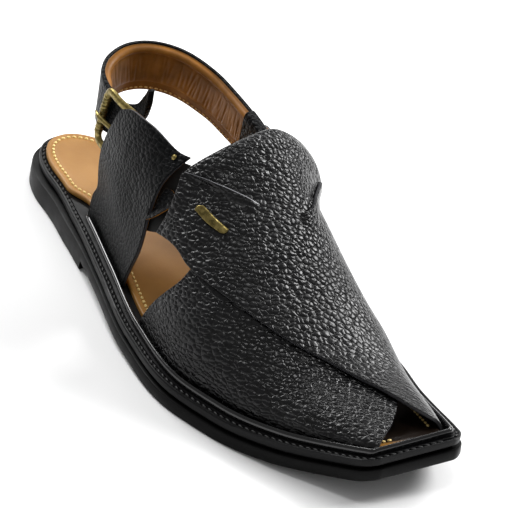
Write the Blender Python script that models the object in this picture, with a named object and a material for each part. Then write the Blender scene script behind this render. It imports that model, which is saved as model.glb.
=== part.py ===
"""Right-foot peshawari chappal: a welted leather sandal with crossed vamp straps and a buckled heel strap.

+X points to the toe, +Y to the wearer's left (the medial side), +Z up. The pieces are built with the
back of the welt at x = 0 and then moved together, so that the origin lies on the floor under the
middle of the whole shoe. Lengths are in metres.
"""
import bpy
import bmesh
import numpy as np
from math import pi, radians
from mathutils import Matrix, Vector

MM = 0.001

# Driving sizes of the sole
WELT_LENGTH = 278 * MM      # heel edge to the middle of the square toe
BALL_WIDTH = 106 * MM       # widest part of the welt
TOE_SLANT = 6.4 * MM        # how much further the big-toe corner reaches
TOE_CORNER = 6 * MM         # radius of the toe's two corners
HEEL_ROUND = 40 * MM        # length of the rounded heel end
HEEL_STACK = 16.6 * MM      # top of the welt over the floor at the heel
FORE_STACK = 11.4 * MM      # the same under the ball
TOE_SPRING = 13.5 * MM      # rise of the welt from ball to toe
WELT_THICKNESS = 3.9 * MM
GROOVE_DEPTH = 1.5 * MM     # recess between welt and outsole
GROOVE_INSET = 1.2 * MM
OUTSOLE_THICKNESS = 6 * MM
OUTSOLE_FLARE = 1.5 * MM    # outsole edge beyond the welt edge
HEEL_FLARE = 3.4 * MM       # the same round the heel
HEEL_BREAST = 78 * MM       # front of the low heel
INSOLE_THICKNESS = 2.6 * MM
INSOLE_RIM = 0.4 * MM       # drawn-in top edge
FEATHER_ROOM = 1 * MM       # from the inside of the upper to the insole
HEEL_MARGIN = 3.6 * MM      # bare stitched band between welt edge and insole
RAND_WIDTH = 2.7 * MM
RAND_HEIGHT = 3.3 * MM
RAND_MARGIN = 4 * MM        # welt edge to rand
RAND_START = 62 * MM

# Driving sizes of the upper
INSTEP_HEIGHT = 98 * MM     # crown of the last over the floor at the throat
LEATHER = 2 * MM            # wall of straps and quarters
PAD = 4.4 * MM              # padded tongue saddle
LAP = 0.35 * MM             # how deep one fused layer reaches into the next
CORNER_LIFT = 3.2 * MM      # front corner of a quarter, clear of the vamp
BUCKLE_COVER = 3.2 * MM     # lateral quarter over the chape
STRAP_COVER = 10.6 * MM     # medial quarter over the sewn strap end
TAB_DROP = 0.7 * MM         # small tab, below the inside of the wing
TOE_LIFT = 2.6 * MM         # free front edge of the upper strap over the lower one
GAP = 0.3 * MM              # clearance between touching pieces
FEATHER = 9 * MM            # welt edge to the inside of the upper

# Driving sizes of heel strap, buckle and fittings
STRAP_WIDTH = 26 * MM
STRAP_THICKNESS = 3.6 * MM
BAR_DIAMETER = 3.4 * MM
BUCKLE_HEIGHT = 30 * MM     # over the middles of its side bars
BUCKLE_LENGTH = 21 * MM     # between the middles of its two end bars
BUCKLE_ARCH = 1.6 * MM      # bow of its side bars
FAR_BAR_DROP = 2.2 * MM     # far bar, nearer to the foot than the ribbed one
BUCKLE_LEAN = radians(10)   # top of the buckle turned towards the toe
CHAPE_LEATHER = 1.2 * MM
CHAPE_WIDTH = 18 * MM
CHAPE_LENGTH = 15 * MM
PRONG_DIAMETER = 2.4 * MM
RIVET_DIAMETER = 5 * MM
RIVET_HEIGHT = 1.3 * MM
PLATE_THICKNESS = 1.2 * MM  # plain brass bar on the vamp

# Mesh fineness
SOLE_ROWS = 40
SOLE_COLUMNS = 2
STRAP_STEPS = 40
BUCKLE_STEPS = 32

# Welt outline: station as a share of the welt length, half widths as shares of the ball width
OUTLINE_COLUMNS = ("station", "lateral", "medial")
OUTLINE = (
    (0.000, 0.208, 0.217),
    (0.103, 0.211, 0.238),
    (0.216, 0.284, 0.293),
    (0.360, 0.404, 0.305),
    (0.504, 0.522, 0.373),
    (0.630, 0.570, 0.430),
    (0.737, 0.522, 0.434),
    (0.845, 0.417, 0.362),
    (0.942, 0.283, 0.286),
    (1.000, 0.207, 0.222),
)

# The last: crown height as a share of the instep height, crown shift and medial fullness as
# shares of the ball width
LAST_COLUMNS = ("station", "crown", "shift", "fullness")
LAST = (
    (0.180, 1.530, 0.019, 0.000),
    (0.288, 1.388, 0.028, 0.000),
    (0.360, 1.204, 0.047, 0.030),
    (0.432, 1.000, 0.085, 0.110),
    (0.504, 0.925, 0.130, 0.110),
    (0.576, 0.770, 0.118, 0.080),
    (0.647, 0.622, 0.080, 0.030),
    (0.719, 0.470, 0.062, 0.000),
    (0.791, 0.352, 0.056, 0.000),
    (0.863, 0.315, 0.038, 0.020),
    (0.935, 0.322, 0.010, 0.025),
    (1.000, 0.290, 0.000, 0.000),
)


def column(table, columns, name):
    """One named column of a table."""
    return np.array([row[columns.index(name)] for row in table])


def read(table, columns, name, station):
    """Smooth value of a column at a station, without overshoot between rows."""
    xs = column(table, columns, "station")
    ys = column(table, columns, name)
    steps = np.diff(xs)
    slopes = np.diff(ys) / steps
    ends = np.concatenate([slopes[:1], slopes, slopes[-1:]])
    both = ends[:-1] * ends[1:]
    total = ends[:-1] + ends[1:]
    tangents = np.where(both > 0, 2 * both / np.where(total == 0, 1, total), 0)
    station = np.clip(station, xs[0], xs[-1])
    i = np.clip(np.searchsorted(xs, station) - 1, 0, len(xs) - 2)
    t = (station - xs[i]) / steps[i]
    rise = steps[i]
    return (
        (1 + 2 * t) * (1 - t) ** 2 * ys[i]
        + t * (1 - t) ** 2 * rise * tangents[i]
        + t * t * (3 - 2 * t) * ys[i + 1]
        + t * t * (t - 1) * rise * tangents[i + 1]
    )


def ease(x, start, end):
    """0 before start, 1 after end, smooth between."""
    t = np.clip((x - start) / (end - start), 0, 1)
    return t * t * (3 - 2 * t)


def welt_top(x):
    """Height of the welt's top face: raised heel, flat ball, toe spring."""
    heel = 0.20 * WELT_LENGTH
    ball_start = 0.67 * WELT_LENGTH
    ball_end = 0.74 * WELT_LENGTH
    fall = (HEEL_STACK - FORE_STACK) * ease(x, heel, ball_start)
    toe = np.clip((x - ball_end) / (WELT_LENGTH - ball_end), 0, 1.2)
    return HEEL_STACK - fall + TOE_SPRING * toe ** 2


def welt_half(x, side, inset):
    """Half width of the welt outline before its ends are rounded, moved in square to the edge."""
    step = 1 * MM
    width, beyond = (
        read(OUTLINE, OUTLINE_COLUMNS, side, place / WELT_LENGTH) * BALL_WIDTH for place in (x, x + step)
    )
    return width - inset * np.hypot(1, (beyond - width) / step)


def half_width(x, side, inset, toe_end):
    """Half width of an outline, moved in by an inset, at a place along the sole."""
    width = welt_half(x, side, inset)
    back = np.clip((x - inset) / (HEEL_ROUND - inset), 0.012, 1)
    width = width * (1 - (1 - back) ** 2.2) ** (1 / 2.2)
    radius = max(TOE_CORNER - inset, 1.5 * MM)
    ahead = np.clip(radius - (toe_end - x), 0, radius)
    return width - (radius - np.sqrt(np.maximum(radius ** 2 - ahead ** 2, 0)))


def outline_rows(inset, rows, start=None, toe_inset=None, side_inset=None):
    """Pairs of plan points, lateral and medial, from the heel to the toe. The inset moves the heel
    end in; a side inset given as a share-free function of x replaces it along the sides."""
    toe_end = WELT_LENGTH - (inset if toe_inset is None else toe_inset)
    start = inset if start is None else start
    turn = np.linspace(0, 1, rows)
    share = turn + 0.18 * np.sin(2 * pi * (turn + 0.5)) / pi
    share = share - 0.18 * np.sin(2 * pi * 0.5) / pi
    xs = start + (toe_end - start) * np.clip(share, 0, 1)
    pairs = []
    for x in xs:
        slant = TOE_SLANT * (x / WELT_LENGTH) ** 3
        move = inset if side_inset is None else side_inset(x)
        low = half_width(x, "lateral", move, toe_end)
        high = half_width(x, "medial", move, toe_end)
        pairs.append(((x - slant / 2, -low), (x + slant / 2, high)))
    return pairs


def material(name, color, roughness, metallic=0.0):
    """A plain finish."""
    finish = bpy.data.materials.new(name)
    finish.use_nodes = True
    shader = finish.node_tree.nodes["Principled BSDF"]
    shader.inputs["Base Color"].default_value = (*color, 1)
    shader.inputs["Roughness"].default_value = roughness
    shader.inputs["Metallic"].default_value = metallic
    return finish


def keep(name, bm, finish, smooth=True):
    """Turns a bmesh into a named object."""
    bmesh.ops.remove_doubles(bm, verts=bm.verts, dist=0.00001)
    bmesh.ops.recalc_face_normals(bm, faces=bm.faces)
    if bm.calc_volume(signed=True) < 0:
        bmesh.ops.reverse_faces(bm, faces=bm.faces)
    mesh = bpy.data.meshes.new(name)
    bm.to_mesh(mesh)
    bm.free()
    if smooth:
        mesh.shade_smooth()
        mesh.set_sharp_from_angle(angle=pi / 5)
    mesh.materials.append(finish)
    shape = bpy.data.objects.new(name, mesh)
    bpy.context.collection.objects.link(shape)
    return shape


def loft(bm, loops, closed=False):
    """Joins rings of points into a skin, with end caps unless the rings close on themselves."""
    rings = [[bm.verts.new(point) for point in loop] for loop in loops]
    count = len(rings[0])
    pairs = list(zip(rings, rings[1:]))
    if closed:
        pairs.append((rings[-1], rings[0]))
    for ring, after in pairs:
        for i in range(count):
            j = (i + 1) % count
            bm.faces.new((ring[i], ring[j], after[j], after[i]))
    if not closed:
        bm.faces.new(rings[0])
        bm.faces.new(rings[-1])


def sole_layer(name, finish, insets, heights, rows=SOLE_ROWS, start=None, toe_inset=None, side_inset=None):
    """A layer of the sole: cross-section rings, edges set by insets and heights from bottom to top."""
    edges = [outline_rows(inset, rows, start, toe_inset, side_inset) for inset in insets]
    bm = bmesh.new()
    loops = []
    shares = np.linspace(0, 1, SOLE_COLUMNS + 1)
    for row in range(rows):
        loop = []
        bottom_a, bottom_b = edges[0][row]
        for share in shares:
            x = bottom_a[0] + (bottom_b[0] - bottom_a[0]) * share
            y = bottom_a[1] + (bottom_b[1] - bottom_a[1]) * share
            loop.append((x, y, heights[0](x)))
        for edge, height in zip(edges[1:], heights[1:]):
            x, y = edge[row][1]
            loop.append((x, y, height(x)))
        top_a, top_b = edges[-1][row]
        for share in shares[::-1][1:]:
            x = top_a[0] + (top_b[0] - top_a[0]) * share
            y = top_a[1] + (top_b[1] - top_a[1]) * share
            loop.append((x, y, heights[-1](x)))
        for edge, height in list(zip(edges, heights))[-2:0:-1]:
            x, y = edge[row][0]
            loop.append((x, y, height(x)))
        loops.append(loop)
    loft(bm, loops)
    return keep(name, bm, finish)


def outsole(finish):
    """Moulded rubber outsole with its low heel and a flared side."""
    def underside(x):
        breast = HEEL_BREAST
        raised = outsole_top(x) - OUTSOLE_THICKNESS
        return np.where(x < breast, 0.0, np.maximum(raised, 0.0)).item()

    def flare(x):
        return -HEEL_FLARE + (HEEL_FLARE - OUTSOLE_FLARE) * ease(x, 0.3 * HEEL_BREAST, 1.3 * HEEL_BREAST)

    return sole_layer(
        "outsole", finish, (-HEEL_FLARE, -0.9 * HEEL_FLARE, -0.8 * HEEL_FLARE),
        (underside, lambda x: underside(x) + 0.3 * (outsole_top(x) - underside(x)), outsole_top),
        rows=SOLE_ROWS + 12, toe_inset=-OUTSOLE_FLARE, side_inset=flare,
    )


def outsole_top(x):
    """The outsole's top face, where the groove begins."""
    return welt_top(x) - WELT_THICKNESS - GROOVE_DEPTH


def midsole(finish):
    """Recessed layer that makes the dark groove under the welt."""
    return sole_layer(
        "midsole", finish, (GROOVE_INSET, GROOVE_INSET),
        (lambda x: outsole_top(x) + GAP, lambda x: welt_top(x) - WELT_THICKNESS - GAP),
    )


def welt(finish):
    """The welt: a flat layer with its top edge slightly drawn in."""
    lip = 0.35 * MM
    return sole_layer(
        "welt", finish, (lip, 0, 0, lip),
        (
            lambda x: welt_top(x) - WELT_THICKNESS,
            lambda x: welt_top(x) - WELT_THICKNESS + lip,
            lambda x: welt_top(x) - lip,
            welt_top,
        ),
    )


def insole_edge(x):
    """Insole inset: a narrow margin at the heel, inside the upper further forward."""
    inside = FEATHER + FEATHER_ROOM
    return HEEL_MARGIN + (inside - HEEL_MARGIN) * ease(x, RAND_START - 22 * MM, RAND_START - 4 * MM)


def insole(finish):
    """Smooth leather insole on the welt."""
    return sole_layer(
        "insole", finish, (HEEL_MARGIN, HEEL_MARGIN, HEEL_MARGIN + INSOLE_RIM),
        (
            lambda x: welt_top(x) + GAP,
            lambda x: welt_top(x) + INSOLE_THICKNESS - INSOLE_RIM,
            lambda x: welt_top(x) + INSOLE_THICKNESS,
        ),
        toe_inset=RAND_MARGIN + RAND_WIDTH + GAP, side_inset=insole_edge,
    )


def rand(finish):
    """Glossy bead round the foot of the upper, open at the heel."""
    rows = SOLE_ROWS
    inner = RAND_MARGIN + RAND_WIDTH - GAP
    lines = []
    for inset in (RAND_MARGIN, inner):
        pairs = outline_rows(inset, rows, start=RAND_START)
        lines.append([low for low, high in pairs] + [high for low, high in pairs[::-1]])
    profile = ((0.0, 0.0), (-0.05, 0.45), (0.2, 0.85), (0.55, 1.0), (0.9, 0.9), (1.0, 0.6), (1.0, 0.0))
    bm = bmesh.new()
    loops = []
    for (ax, ay), (bx, by) in zip(*lines):
        base = welt_top(ax) + GAP
        loops.append([
            (ax + (bx - ax) * across, ay + (by - ay) * across, base + RAND_HEIGHT * up)
            for across, up in profile
        ])
    loft(bm, loops)
    return keep("rand", bm, finish)


def last_point(station, girth, offset=0.0):
    """A point of the last's surface. Girth runs from -1 at the lateral feather edge over 0 at the
    crown to 1 at the medial one; offset is the distance off the surface."""
    station = np.asarray(station, float)
    girth = np.asarray(girth, float)
    x = station * WELT_LENGTH
    shift = read(LAST, LAST_COLUMNS, "shift", station) * BALL_WIDTH
    crown = read(LAST, LAST_COLUMNS, "crown", station) * INSTEP_HEIGHT
    full = read(LAST, LAST_COLUMNS, "fullness", station) * BALL_WIDTH
    lateral = welt_half(x, "lateral", FEATHER)
    medial = welt_half(x, "medial", FEATHER)
    base = welt_top(x) + GAP
    angle = np.abs(girth) * pi / 2
    side = np.sin(angle)
    rise = np.maximum(np.cos(angle), 0)
    y_lateral = shift - (lateral + shift) * side
    y_medial = shift + (medial - shift) * side ** 0.9 + full * (2 * side * rise) ** 2
    z = base + (crown - base) * rise ** 0.92
    slant = TOE_SLANT * (x / WELT_LENGTH) ** 3
    y = np.where(girth < 0, y_lateral, y_medial)
    x = x + slant * y / (0.5 * BALL_WIDTH)
    point = np.stack([x + 0 * y, y, z + 0 * y], axis=-1)
    if np.any(np.asarray(offset) != 0):
        point = point + last_normal(station, girth) * np.asarray(offset)[..., None]
    foot = welt_top(point[..., 0]) + GAP
    point[..., 2] = np.maximum(point[..., 2], foot)
    return point


def last_normal(station, girth):
    """Outward unit normal of the last, level at the feather edge."""
    step = 0.004
    girth = np.clip(girth, -1 + 2 * step, 1 - 2 * step)
    along = last_point(station + step, girth) - last_point(station - step, girth)
    around = last_point(station, girth + step) - last_point(station, girth - step)
    normal = np.cross(around, along)
    return -normal / np.linalg.norm(normal, axis=-1, keepdims=True)


def spline(before, here, there, beyond, t):
    """A point between here and there on a smooth curve through four points."""
    return 0.5 * (
        2 * here + (there - before) * t
        + (2 * before - 5 * here + 4 * there - beyond) * t ** 2
        + (3 * here - before - 3 * there + beyond) * t ** 3
    )


def follow(points, share):
    """A place on a smooth curve through a panel edge's points, by its share of the length."""
    knots = np.array(points, float)
    lengths = np.concatenate([[0], np.cumsum(np.hypot(np.diff(knots[:, 0]) * 2.6, np.diff(knots[:, 1])))])
    share = np.asarray(share) * lengths[-1]
    i = np.clip(np.searchsorted(lengths, share) - 1, 0, len(knots) - 2)
    t = ((share - lengths[i]) / (lengths[i + 1] - lengths[i]))[:, None]
    padded = np.vstack([2 * knots[0] - knots[1], knots, 2 * knots[-1] - knots[-2]])
    return spline(padded[i], padded[i + 1], padded[i + 2], padded[i + 3], t)


def patch(low, high, rear, front, rows, columns):
    """Stations and girths over a four-sided panel: rows run from rear to front, columns from the
    low edge to the high one."""
    u = np.linspace(0, 1, rows)
    v = np.linspace(0, 1, columns)
    low = follow(low, u)[:, None]
    high = follow(high, u)[:, None]
    rear = follow(rear, v)[None]
    front = follow(front, v)[None]
    u = u[:, None, None]
    v = v[None, :, None]
    corners = (
        (1 - u) * (1 - v) * low[:1] + (1 - u) * v * high[:1]
        + u * (1 - v) * low[-1:] + u * v * high[-1:]
    )
    return (1 - v) * low + v * high + (1 - u) * rear + u * front - corners


def panel_wall(name, finish, grid, inner, outer):
    """A closed leather wall over a panel, between two offsets from the last."""
    bm = bmesh.new()
    skins = []
    for offset in (inner, outer):
        points = last_point(grid[..., 0], grid[..., 1], offset)
        skins.append([[bm.verts.new(point) for point in row] for row in points])
    inside, outside = skins
    rows = len(inside)
    columns = len(inside[0])
    for i in range(rows - 1):
        for j in range(columns - 1):
            for skin in skins:
                bm.faces.new((skin[i][j], skin[i + 1][j], skin[i + 1][j + 1], skin[i][j + 1]))
    rim = [(i, 0) for i in range(rows)] + [(rows - 1, j) for j in range(1, columns)]
    rim += [(i, columns - 1) for i in range(rows - 2, -1, -1)] + [(0, j) for j in range(columns - 2, 0, -1)]
    for (a, b), (c, d) in zip(rim, rim[1:] + rim[:1]):
        bm.faces.new((inside[a][b], inside[c][d], outside[c][d], outside[a][b]))
    return keep(name, bm, finish)


# Panel edges as (station, girth) pairs, rear to front along the low and high edges and lateral to
# medial across
LOWER_STRAP = {
    "low": ((0.500, -1.0), (0.590, -1.0), (0.700, -1.0), (0.820, -1.0), (0.910, -1.0), (0.950, -1.0)),
    "high": ((0.566, -0.47), (0.640, -0.38), (0.720, -0.26), (0.790, -0.12), (0.850, 0.06), (0.900, 0.17)),
    "rear": ((0.500, -1.0), (0.543, -0.80), (0.563, -0.683), (0.568, -0.592), (0.566, -0.47)),
    "front": ((0.950, -1.0), (0.961, -0.575), (0.953, -0.292), (0.942, -0.133), (0.928, 0.0), (0.900, 0.17)),
}
UPPER_STRAP = {
    "low": ((0.482, -0.650), (0.529, -0.617), (0.572, -0.592), (0.651, -0.470), (0.730, -0.335),
            (0.805, -0.170), (0.855, 0.05), (0.892, 0.32), (0.918, 0.62), (0.932, 0.85)),
    "high": ((0.480, 1.0), (0.600, 1.0), (0.720, 1.0), (0.860, 1.0), (0.944, 1.0)),
    "rear": ((0.482, -0.650), (0.475, -0.483), (0.462, -0.417), (0.493, -0.358), (0.536, -0.250),
             (0.570, -0.10), (0.592, 0.06), (0.588, 0.20), (0.560, 0.36), (0.530, 0.50), (0.502, 0.72), (0.480, 1.0)),
    "front": ((0.932, 0.85), (0.938, 0.92), (0.944, 1.0)),
}
SADDLE = {
    "low": ((0.460, -0.400), (0.510, -0.340), (0.560, -0.250), (0.610, -0.150)),
    "high": ((0.486, 0.500), (0.530, 0.520), (0.580, 0.460), (0.640, 0.300)),
    "rear": ((0.460, -0.400), (0.474, -0.200), (0.472, -0.030), (0.470, 0.140), (0.474, 0.320), (0.486, 0.500)),
    "front": ((0.610, -0.150), (0.632, 0.060), (0.640, 0.300)),
}
LATERAL_QUARTER = {
    "low": ((0.222, -1.0), (0.300, -1.0), (0.360, -1.0), (0.411, -1.0)),
    "high": ((0.288, -0.625), (0.314, -0.555), (0.342, -0.500), (0.392, -0.415), (0.448, -0.340)),
    "rear": ((0.222, -1.0), (0.230, -0.950), (0.250, -0.905), (0.252, -0.850), (0.260, -0.765), (0.288, -0.625)),
    "front": ((0.411, -1.0), (0.441, -0.820), (0.439, -0.650), (0.436, -0.530), (0.448, -0.340)),
}
MEDIAL_QUARTER = {
    "low": ((0.270, 1.0), (0.330, 1.0), (0.390, 1.0), (0.436, 1.0)),
    "high": ((0.384, 0.600), (0.404, 0.550), (0.424, 0.520), (0.450, 0.510)),
    "rear": ((0.270, 1.0), (0.300, 0.900), (0.330, 0.800), (0.356, 0.700), (0.384, 0.600)),
    "front": ((0.436, 1.0), (0.452, 0.840), (0.450, 0.700), (0.446, 0.600), (0.450, 0.510)),
}


def union(base, others):
    """Fuses solids into the base object."""
    for other in others:
        fuse = base.modifiers.new("fuse", "BOOLEAN")
        fuse.operation = "UNION"
        fuse.object = other
        other.hide_render = True
        other.display_type = "WIRE"
    return base


def upper(finish):
    """Crossed vamp straps fused where they cross, with the padded tongue saddle behind."""
    grid = patch(**LOWER_STRAP, rows=26, columns=12)
    lower = panel_wall("upper", finish, grid, 0.0, LEATHER)

    grid = patch(**UPPER_STRAP, rows=34, columns=16)
    across = ease(grid[..., 1], 0.35, 0.95)
    ahead = ease(grid[..., 0], 0.74, 0.92)
    inner = (LEATHER - LAP) * (1 - across) + TOE_LIFT * ahead * (1 - across)
    thick = LEATHER + LAP
    over = panel_wall("upper_strap_form", finish, grid, inner, inner + thick)

    grid = patch(**SADDLE, rows=10, columns=14)
    u = np.linspace(0, 1, grid.shape[0])[:, None]
    v = np.linspace(0, 1, grid.shape[1])[None]
    puff = np.sin(pi * v) ** 0.6 * (1 - ease(u, 0.25, 0.85))
    outer = LEATHER + (PAD - LEATHER) * puff
    pad = panel_wall("saddle_form", finish, grid, 0.0 * outer, outer)
    return union(lower, (over, pad))


def quarter(name, finish, edges, lift, cover, fade):
    """A quarter from the sole edge to the ankle. Its front corner is lifted clear of the vamp and its
    rear corner covers what fastens the heel strap, fading between two shares of the length."""
    grid = patch(**edges, rows=14, columns=14)
    ahead = np.linspace(0, 1, grid.shape[0])[:, None]
    girth = np.abs(grid[..., 1])
    front = ease(ahead, 0.45, 0.95) * (1 - ease(girth, 0.5, 0.85))
    rear = (1 - ease(ahead, *fade)) * (1 - ease(girth, 0.78, 0.97))
    inner = lift * front + cover * rear
    return panel_wall(name, finish, grid, inner, inner + LEATHER)


# Middle line of the heel strap from its sewn medial end round the heel to the free tail: x as a share
# of the welt length, y of the ball width, z of the instep height, with shares of width and thickness
STRAP_COLUMNS = ("x", "y", "z", "width", "thickness")
STRAP = (
    (0.415, 0.276, 0.725, 0.80, 0.80),
    (0.374, 0.284, 0.730, 0.96, 1.00),
    (0.316, 0.298, 0.740, 1.00, 1.00),
    (0.260, 0.290, 0.765, 1.00, 1.00),
    (0.203, 0.232, 0.800, 1.00, 1.00),
    (0.164, 0.142, 0.812, 1.00, 1.00),
    (0.146, 0.040, 0.800, 1.00, 1.00),
    (0.152, -0.065, 0.775, 1.00, 1.00),
    (0.176, -0.140, 0.755, 1.00, 1.00),
    (0.208, -0.172, 0.748, 0.92, 0.90),
    (0.235, -0.168, 0.752, 0.80, 0.66),
    (0.262, -0.145, 0.780, 0.62, 0.61),
    (0.285, -0.138, 0.845, 0.46, 0.61),
    (0.299, -0.142, 0.925, 0.30, 0.61),
    (0.307, -0.147, 1.000, 0.12, 0.61),
)


def strap_frames():
    """Middle points, tangents and width directions along the heel strap, with its two sizes."""
    scale = {"x": WELT_LENGTH, "y": BALL_WIDTH, "z": INSTEP_HEIGHT}
    knots = np.stack([column(STRAP, STRAP_COLUMNS, axis) * size for axis, size in scale.items()], axis=-1)
    sizes = np.stack([column(STRAP, STRAP_COLUMNS, "width"), column(STRAP, STRAP_COLUMNS, "thickness")], axis=-1)
    rows = np.hstack([knots, sizes])
    lengths = np.concatenate([[0], np.cumsum(np.linalg.norm(np.diff(knots, axis=0), axis=1))])
    share = np.linspace(0, lengths[-1], STRAP_STEPS)
    i = np.clip(np.searchsorted(lengths, share) - 1, 0, len(rows) - 2)
    t = ((share - lengths[i]) / (lengths[i + 1] - lengths[i]))[:, None]
    padded = np.vstack([2 * rows[0] - rows[1], rows, 2 * rows[-1] - rows[-2]])
    line = spline(padded[i], padded[i + 1], padded[i + 2], padded[i + 3], t)
    tangents = np.gradient(line[:, :3], axis=0)
    tangents /= np.linalg.norm(tangents, axis=1, keepdims=True)
    up = np.array([0, 0, 1]) - tangents * tangents[:, 2:3]
    up /= np.linalg.norm(up, axis=1, keepdims=True)
    return line[:, :3], tangents, up, line[:, 3] * STRAP_WIDTH, line[:, 4] * STRAP_THICKNESS


def heel_strap(finish):
    """Padded strap round the heel, ending in the thin pointed tail behind the buckle."""
    middles, tangents, ups, widths, thicknesses = strap_frames()
    half = ((-0.5, -0.25), (-0.42, -0.5), (0.42, -0.5), (0.5, -0.25))
    profile = half + tuple((-across, -through) for across, through in half)
    bm = bmesh.new()
    loops = []
    for middle, tangent, up, width, thickness in zip(middles, tangents, ups, widths, thicknesses):
        out = np.cross(tangent, up)
        loops.append([middle + up * a * width + out * b * thickness for a, b in profile])
    loft(bm, loops)
    return keep("heel_strap", bm, finish)


# Where the buckle lies: the ribbed end bar rests on the strap, the far bar sits in the chape
BUCKLE_X = 0.220 * WELT_LENGTH
BUCKLE_Z = 0.745 * INSTEP_HEIGHT
BUCKLE_Y = -0.1715 * BALL_WIDTH - 0.5 * STRAP_THICKNESS - GAP - 0.5 * BAR_DIAMETER
FAR_BAR_Y = BUCKLE_Y + FAR_BAR_DROP


def tube(bm, path, radii, sides=8, closed=False):
    """A round bar along a path."""
    path = np.asarray(path, float)
    ahead = np.roll(path, -1, axis=0) - np.roll(path, 1, axis=0)
    if not closed:
        ahead[0] = path[1] - path[0]
        ahead[-1] = path[-1] - path[-2]
    loops = []
    side = None
    for point, tangent, radius in zip(path, ahead, radii):
        tangent = tangent / np.linalg.norm(tangent)
        guide = np.array([0, 1.0, 0.02]) if side is None else side
        side = guide - tangent * guide.dot(tangent)
        side /= np.linalg.norm(side)
        other = np.cross(tangent, side)
        turns = np.linspace(0, 2 * pi, sides, endpoint=False)
        loops.append([point + radius * (np.cos(a) * side + np.sin(a) * other) for a in turns])
    loft(bm, loops, closed)


def buckle_frame(finish):
    """Brass frame: a rounded oblong of round bar, its rear end bar thicker and ribbed."""
    turns = np.linspace(0, 2 * pi, BUCKLE_STEPS, endpoint=False) + pi / BUCKLE_STEPS
    along = 0.5 * BUCKLE_LENGTH * np.sign(np.cos(turns)) * np.abs(np.cos(turns)) ** 0.3
    height = 0.5 * BUCKLE_HEIGHT * np.sign(np.sin(turns)) * np.abs(np.sin(turns)) ** 0.3
    share = along / BUCKLE_LENGTH + 0.5
    y = BUCKLE_Y + (FAR_BAR_Y - BUCKLE_Y) * share - BUCKLE_ARCH * np.sin(pi * share)
    path = np.stack([BUCKLE_X + 0.5 * BUCKLE_LENGTH + along, y, BUCKLE_Z + height], axis=-1)
    radii = np.full(BUCKLE_STEPS, 0.5 * BAR_DIAMETER)
    bm = bmesh.new()
    tube(bm, path, radii, closed=True)
    return keep("buckle_frame", bm, finish)


def buckle_prong(finish):
    """Prong with its eye round the far bar and its tip on the ribbed bar."""
    eye = 0.5 * BAR_DIAMETER + GAP + 0.5 * PRONG_DIAMETER
    far_x = BUCKLE_X + BUCKLE_LENGTH
    turns = np.linspace(0, 2 * pi, 14, endpoint=False)
    ring = [(far_x + eye * np.cos(a), FAR_BAR_Y + eye * np.sin(a), BUCKLE_Z) for a in turns]
    bm = bmesh.new()
    tube(bm, ring, [0.42 * PRONG_DIAMETER] * len(ring), closed=True)
    round_eye = keep("prong_eye_form", bm, finish)
    rest = BUCKLE_Y - 0.5 * (BAR_DIAMETER + PRONG_DIAMETER) - GAP
    path = (
        (far_x - 0.9 * eye, FAR_BAR_Y - 0.45 * eye, BUCKLE_Z),
        (far_x - 0.5 * BUCKLE_LENGTH, 0.5 * (FAR_BAR_Y - eye + rest), BUCKLE_Z),
        (BUCKLE_X + 0.2 * BUCKLE_LENGTH, rest, BUCKLE_Z),
        (BUCKLE_X, rest, BUCKLE_Z),
        (BUCKLE_X - 0.7 * BAR_DIAMETER, rest + 0.3 * PRONG_DIAMETER, BUCKLE_Z),
    )
    radii = [0.5 * PRONG_DIAMETER * share for share in (0.84, 1.0, 1.0, 0.9, 0.4)]
    bm = bmesh.new()
    tube(bm, path, radii)
    return union(keep("buckle_prong", bm, finish), (round_eye,))


def chape(finish):
    """Leather loop round the far bar, slotted for the prong, its ends under the lateral quarter."""
    far_x = BUCKLE_X + BUCKLE_LENGTH
    bore = 0.5 * BAR_DIAMETER + GAP
    outer = bore + CHAPE_LEATHER
    turns = np.linspace(0.5 * pi, 1.5 * pi, 9)
    bend = [(far_x + outer * np.cos(a), FAR_BAR_Y + outer * np.sin(a)) for a in turns]
    end = far_x + CHAPE_LENGTH
    face = FAR_BAR_Y - outer
    plan = bend + [(end, face), (end, face + 1.5 * CHAPE_LEATHER), (far_x + 2.2 * outer, face + 1.5 * CHAPE_LEATHER)]
    bm = bmesh.new()
    half = 0.5 * CHAPE_WIDTH
    loft(bm, [[(x, y, BUCKLE_Z + z) for x, y in plan] for z in (-half, half)])
    loop = keep("chape", bm, finish, smooth=False)
    bm = bmesh.new()
    turns = np.linspace(0, 2 * pi, 16, endpoint=False)
    hole = [(far_x + bore * np.cos(a), FAR_BAR_Y + bore * np.sin(a)) for a in turns]
    loft(bm, [[(x, y, BUCKLE_Z + z) for x, y in hole] for z in (-2 * half, 2 * half)])
    bar_hole = keep("chape_bore_form", bm, finish)
    bm = bmesh.new()
    slot = 0.5 * PRONG_DIAMETER + GAP
    reach = outer + 2 * MM
    corners = ((far_x - reach, -reach), (far_x + reach, -reach), (far_x + reach, reach), (far_x - reach, reach))
    loft(bm, [[(x, FAR_BAR_Y + y, BUCKLE_Z + z) for x, y in corners] for z in (-slot, slot)])
    prong_slot = keep("chape_slot_form", bm, finish)
    for cutter in (bar_hole, prong_slot):
        cut = loop.modifiers.new("cut", "BOOLEAN")
        cut.operation = "DIFFERENCE"
        cut.object = cutter
        cutter.hide_render = True
        cutter.display_type = "WIRE"
    return loop


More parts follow.
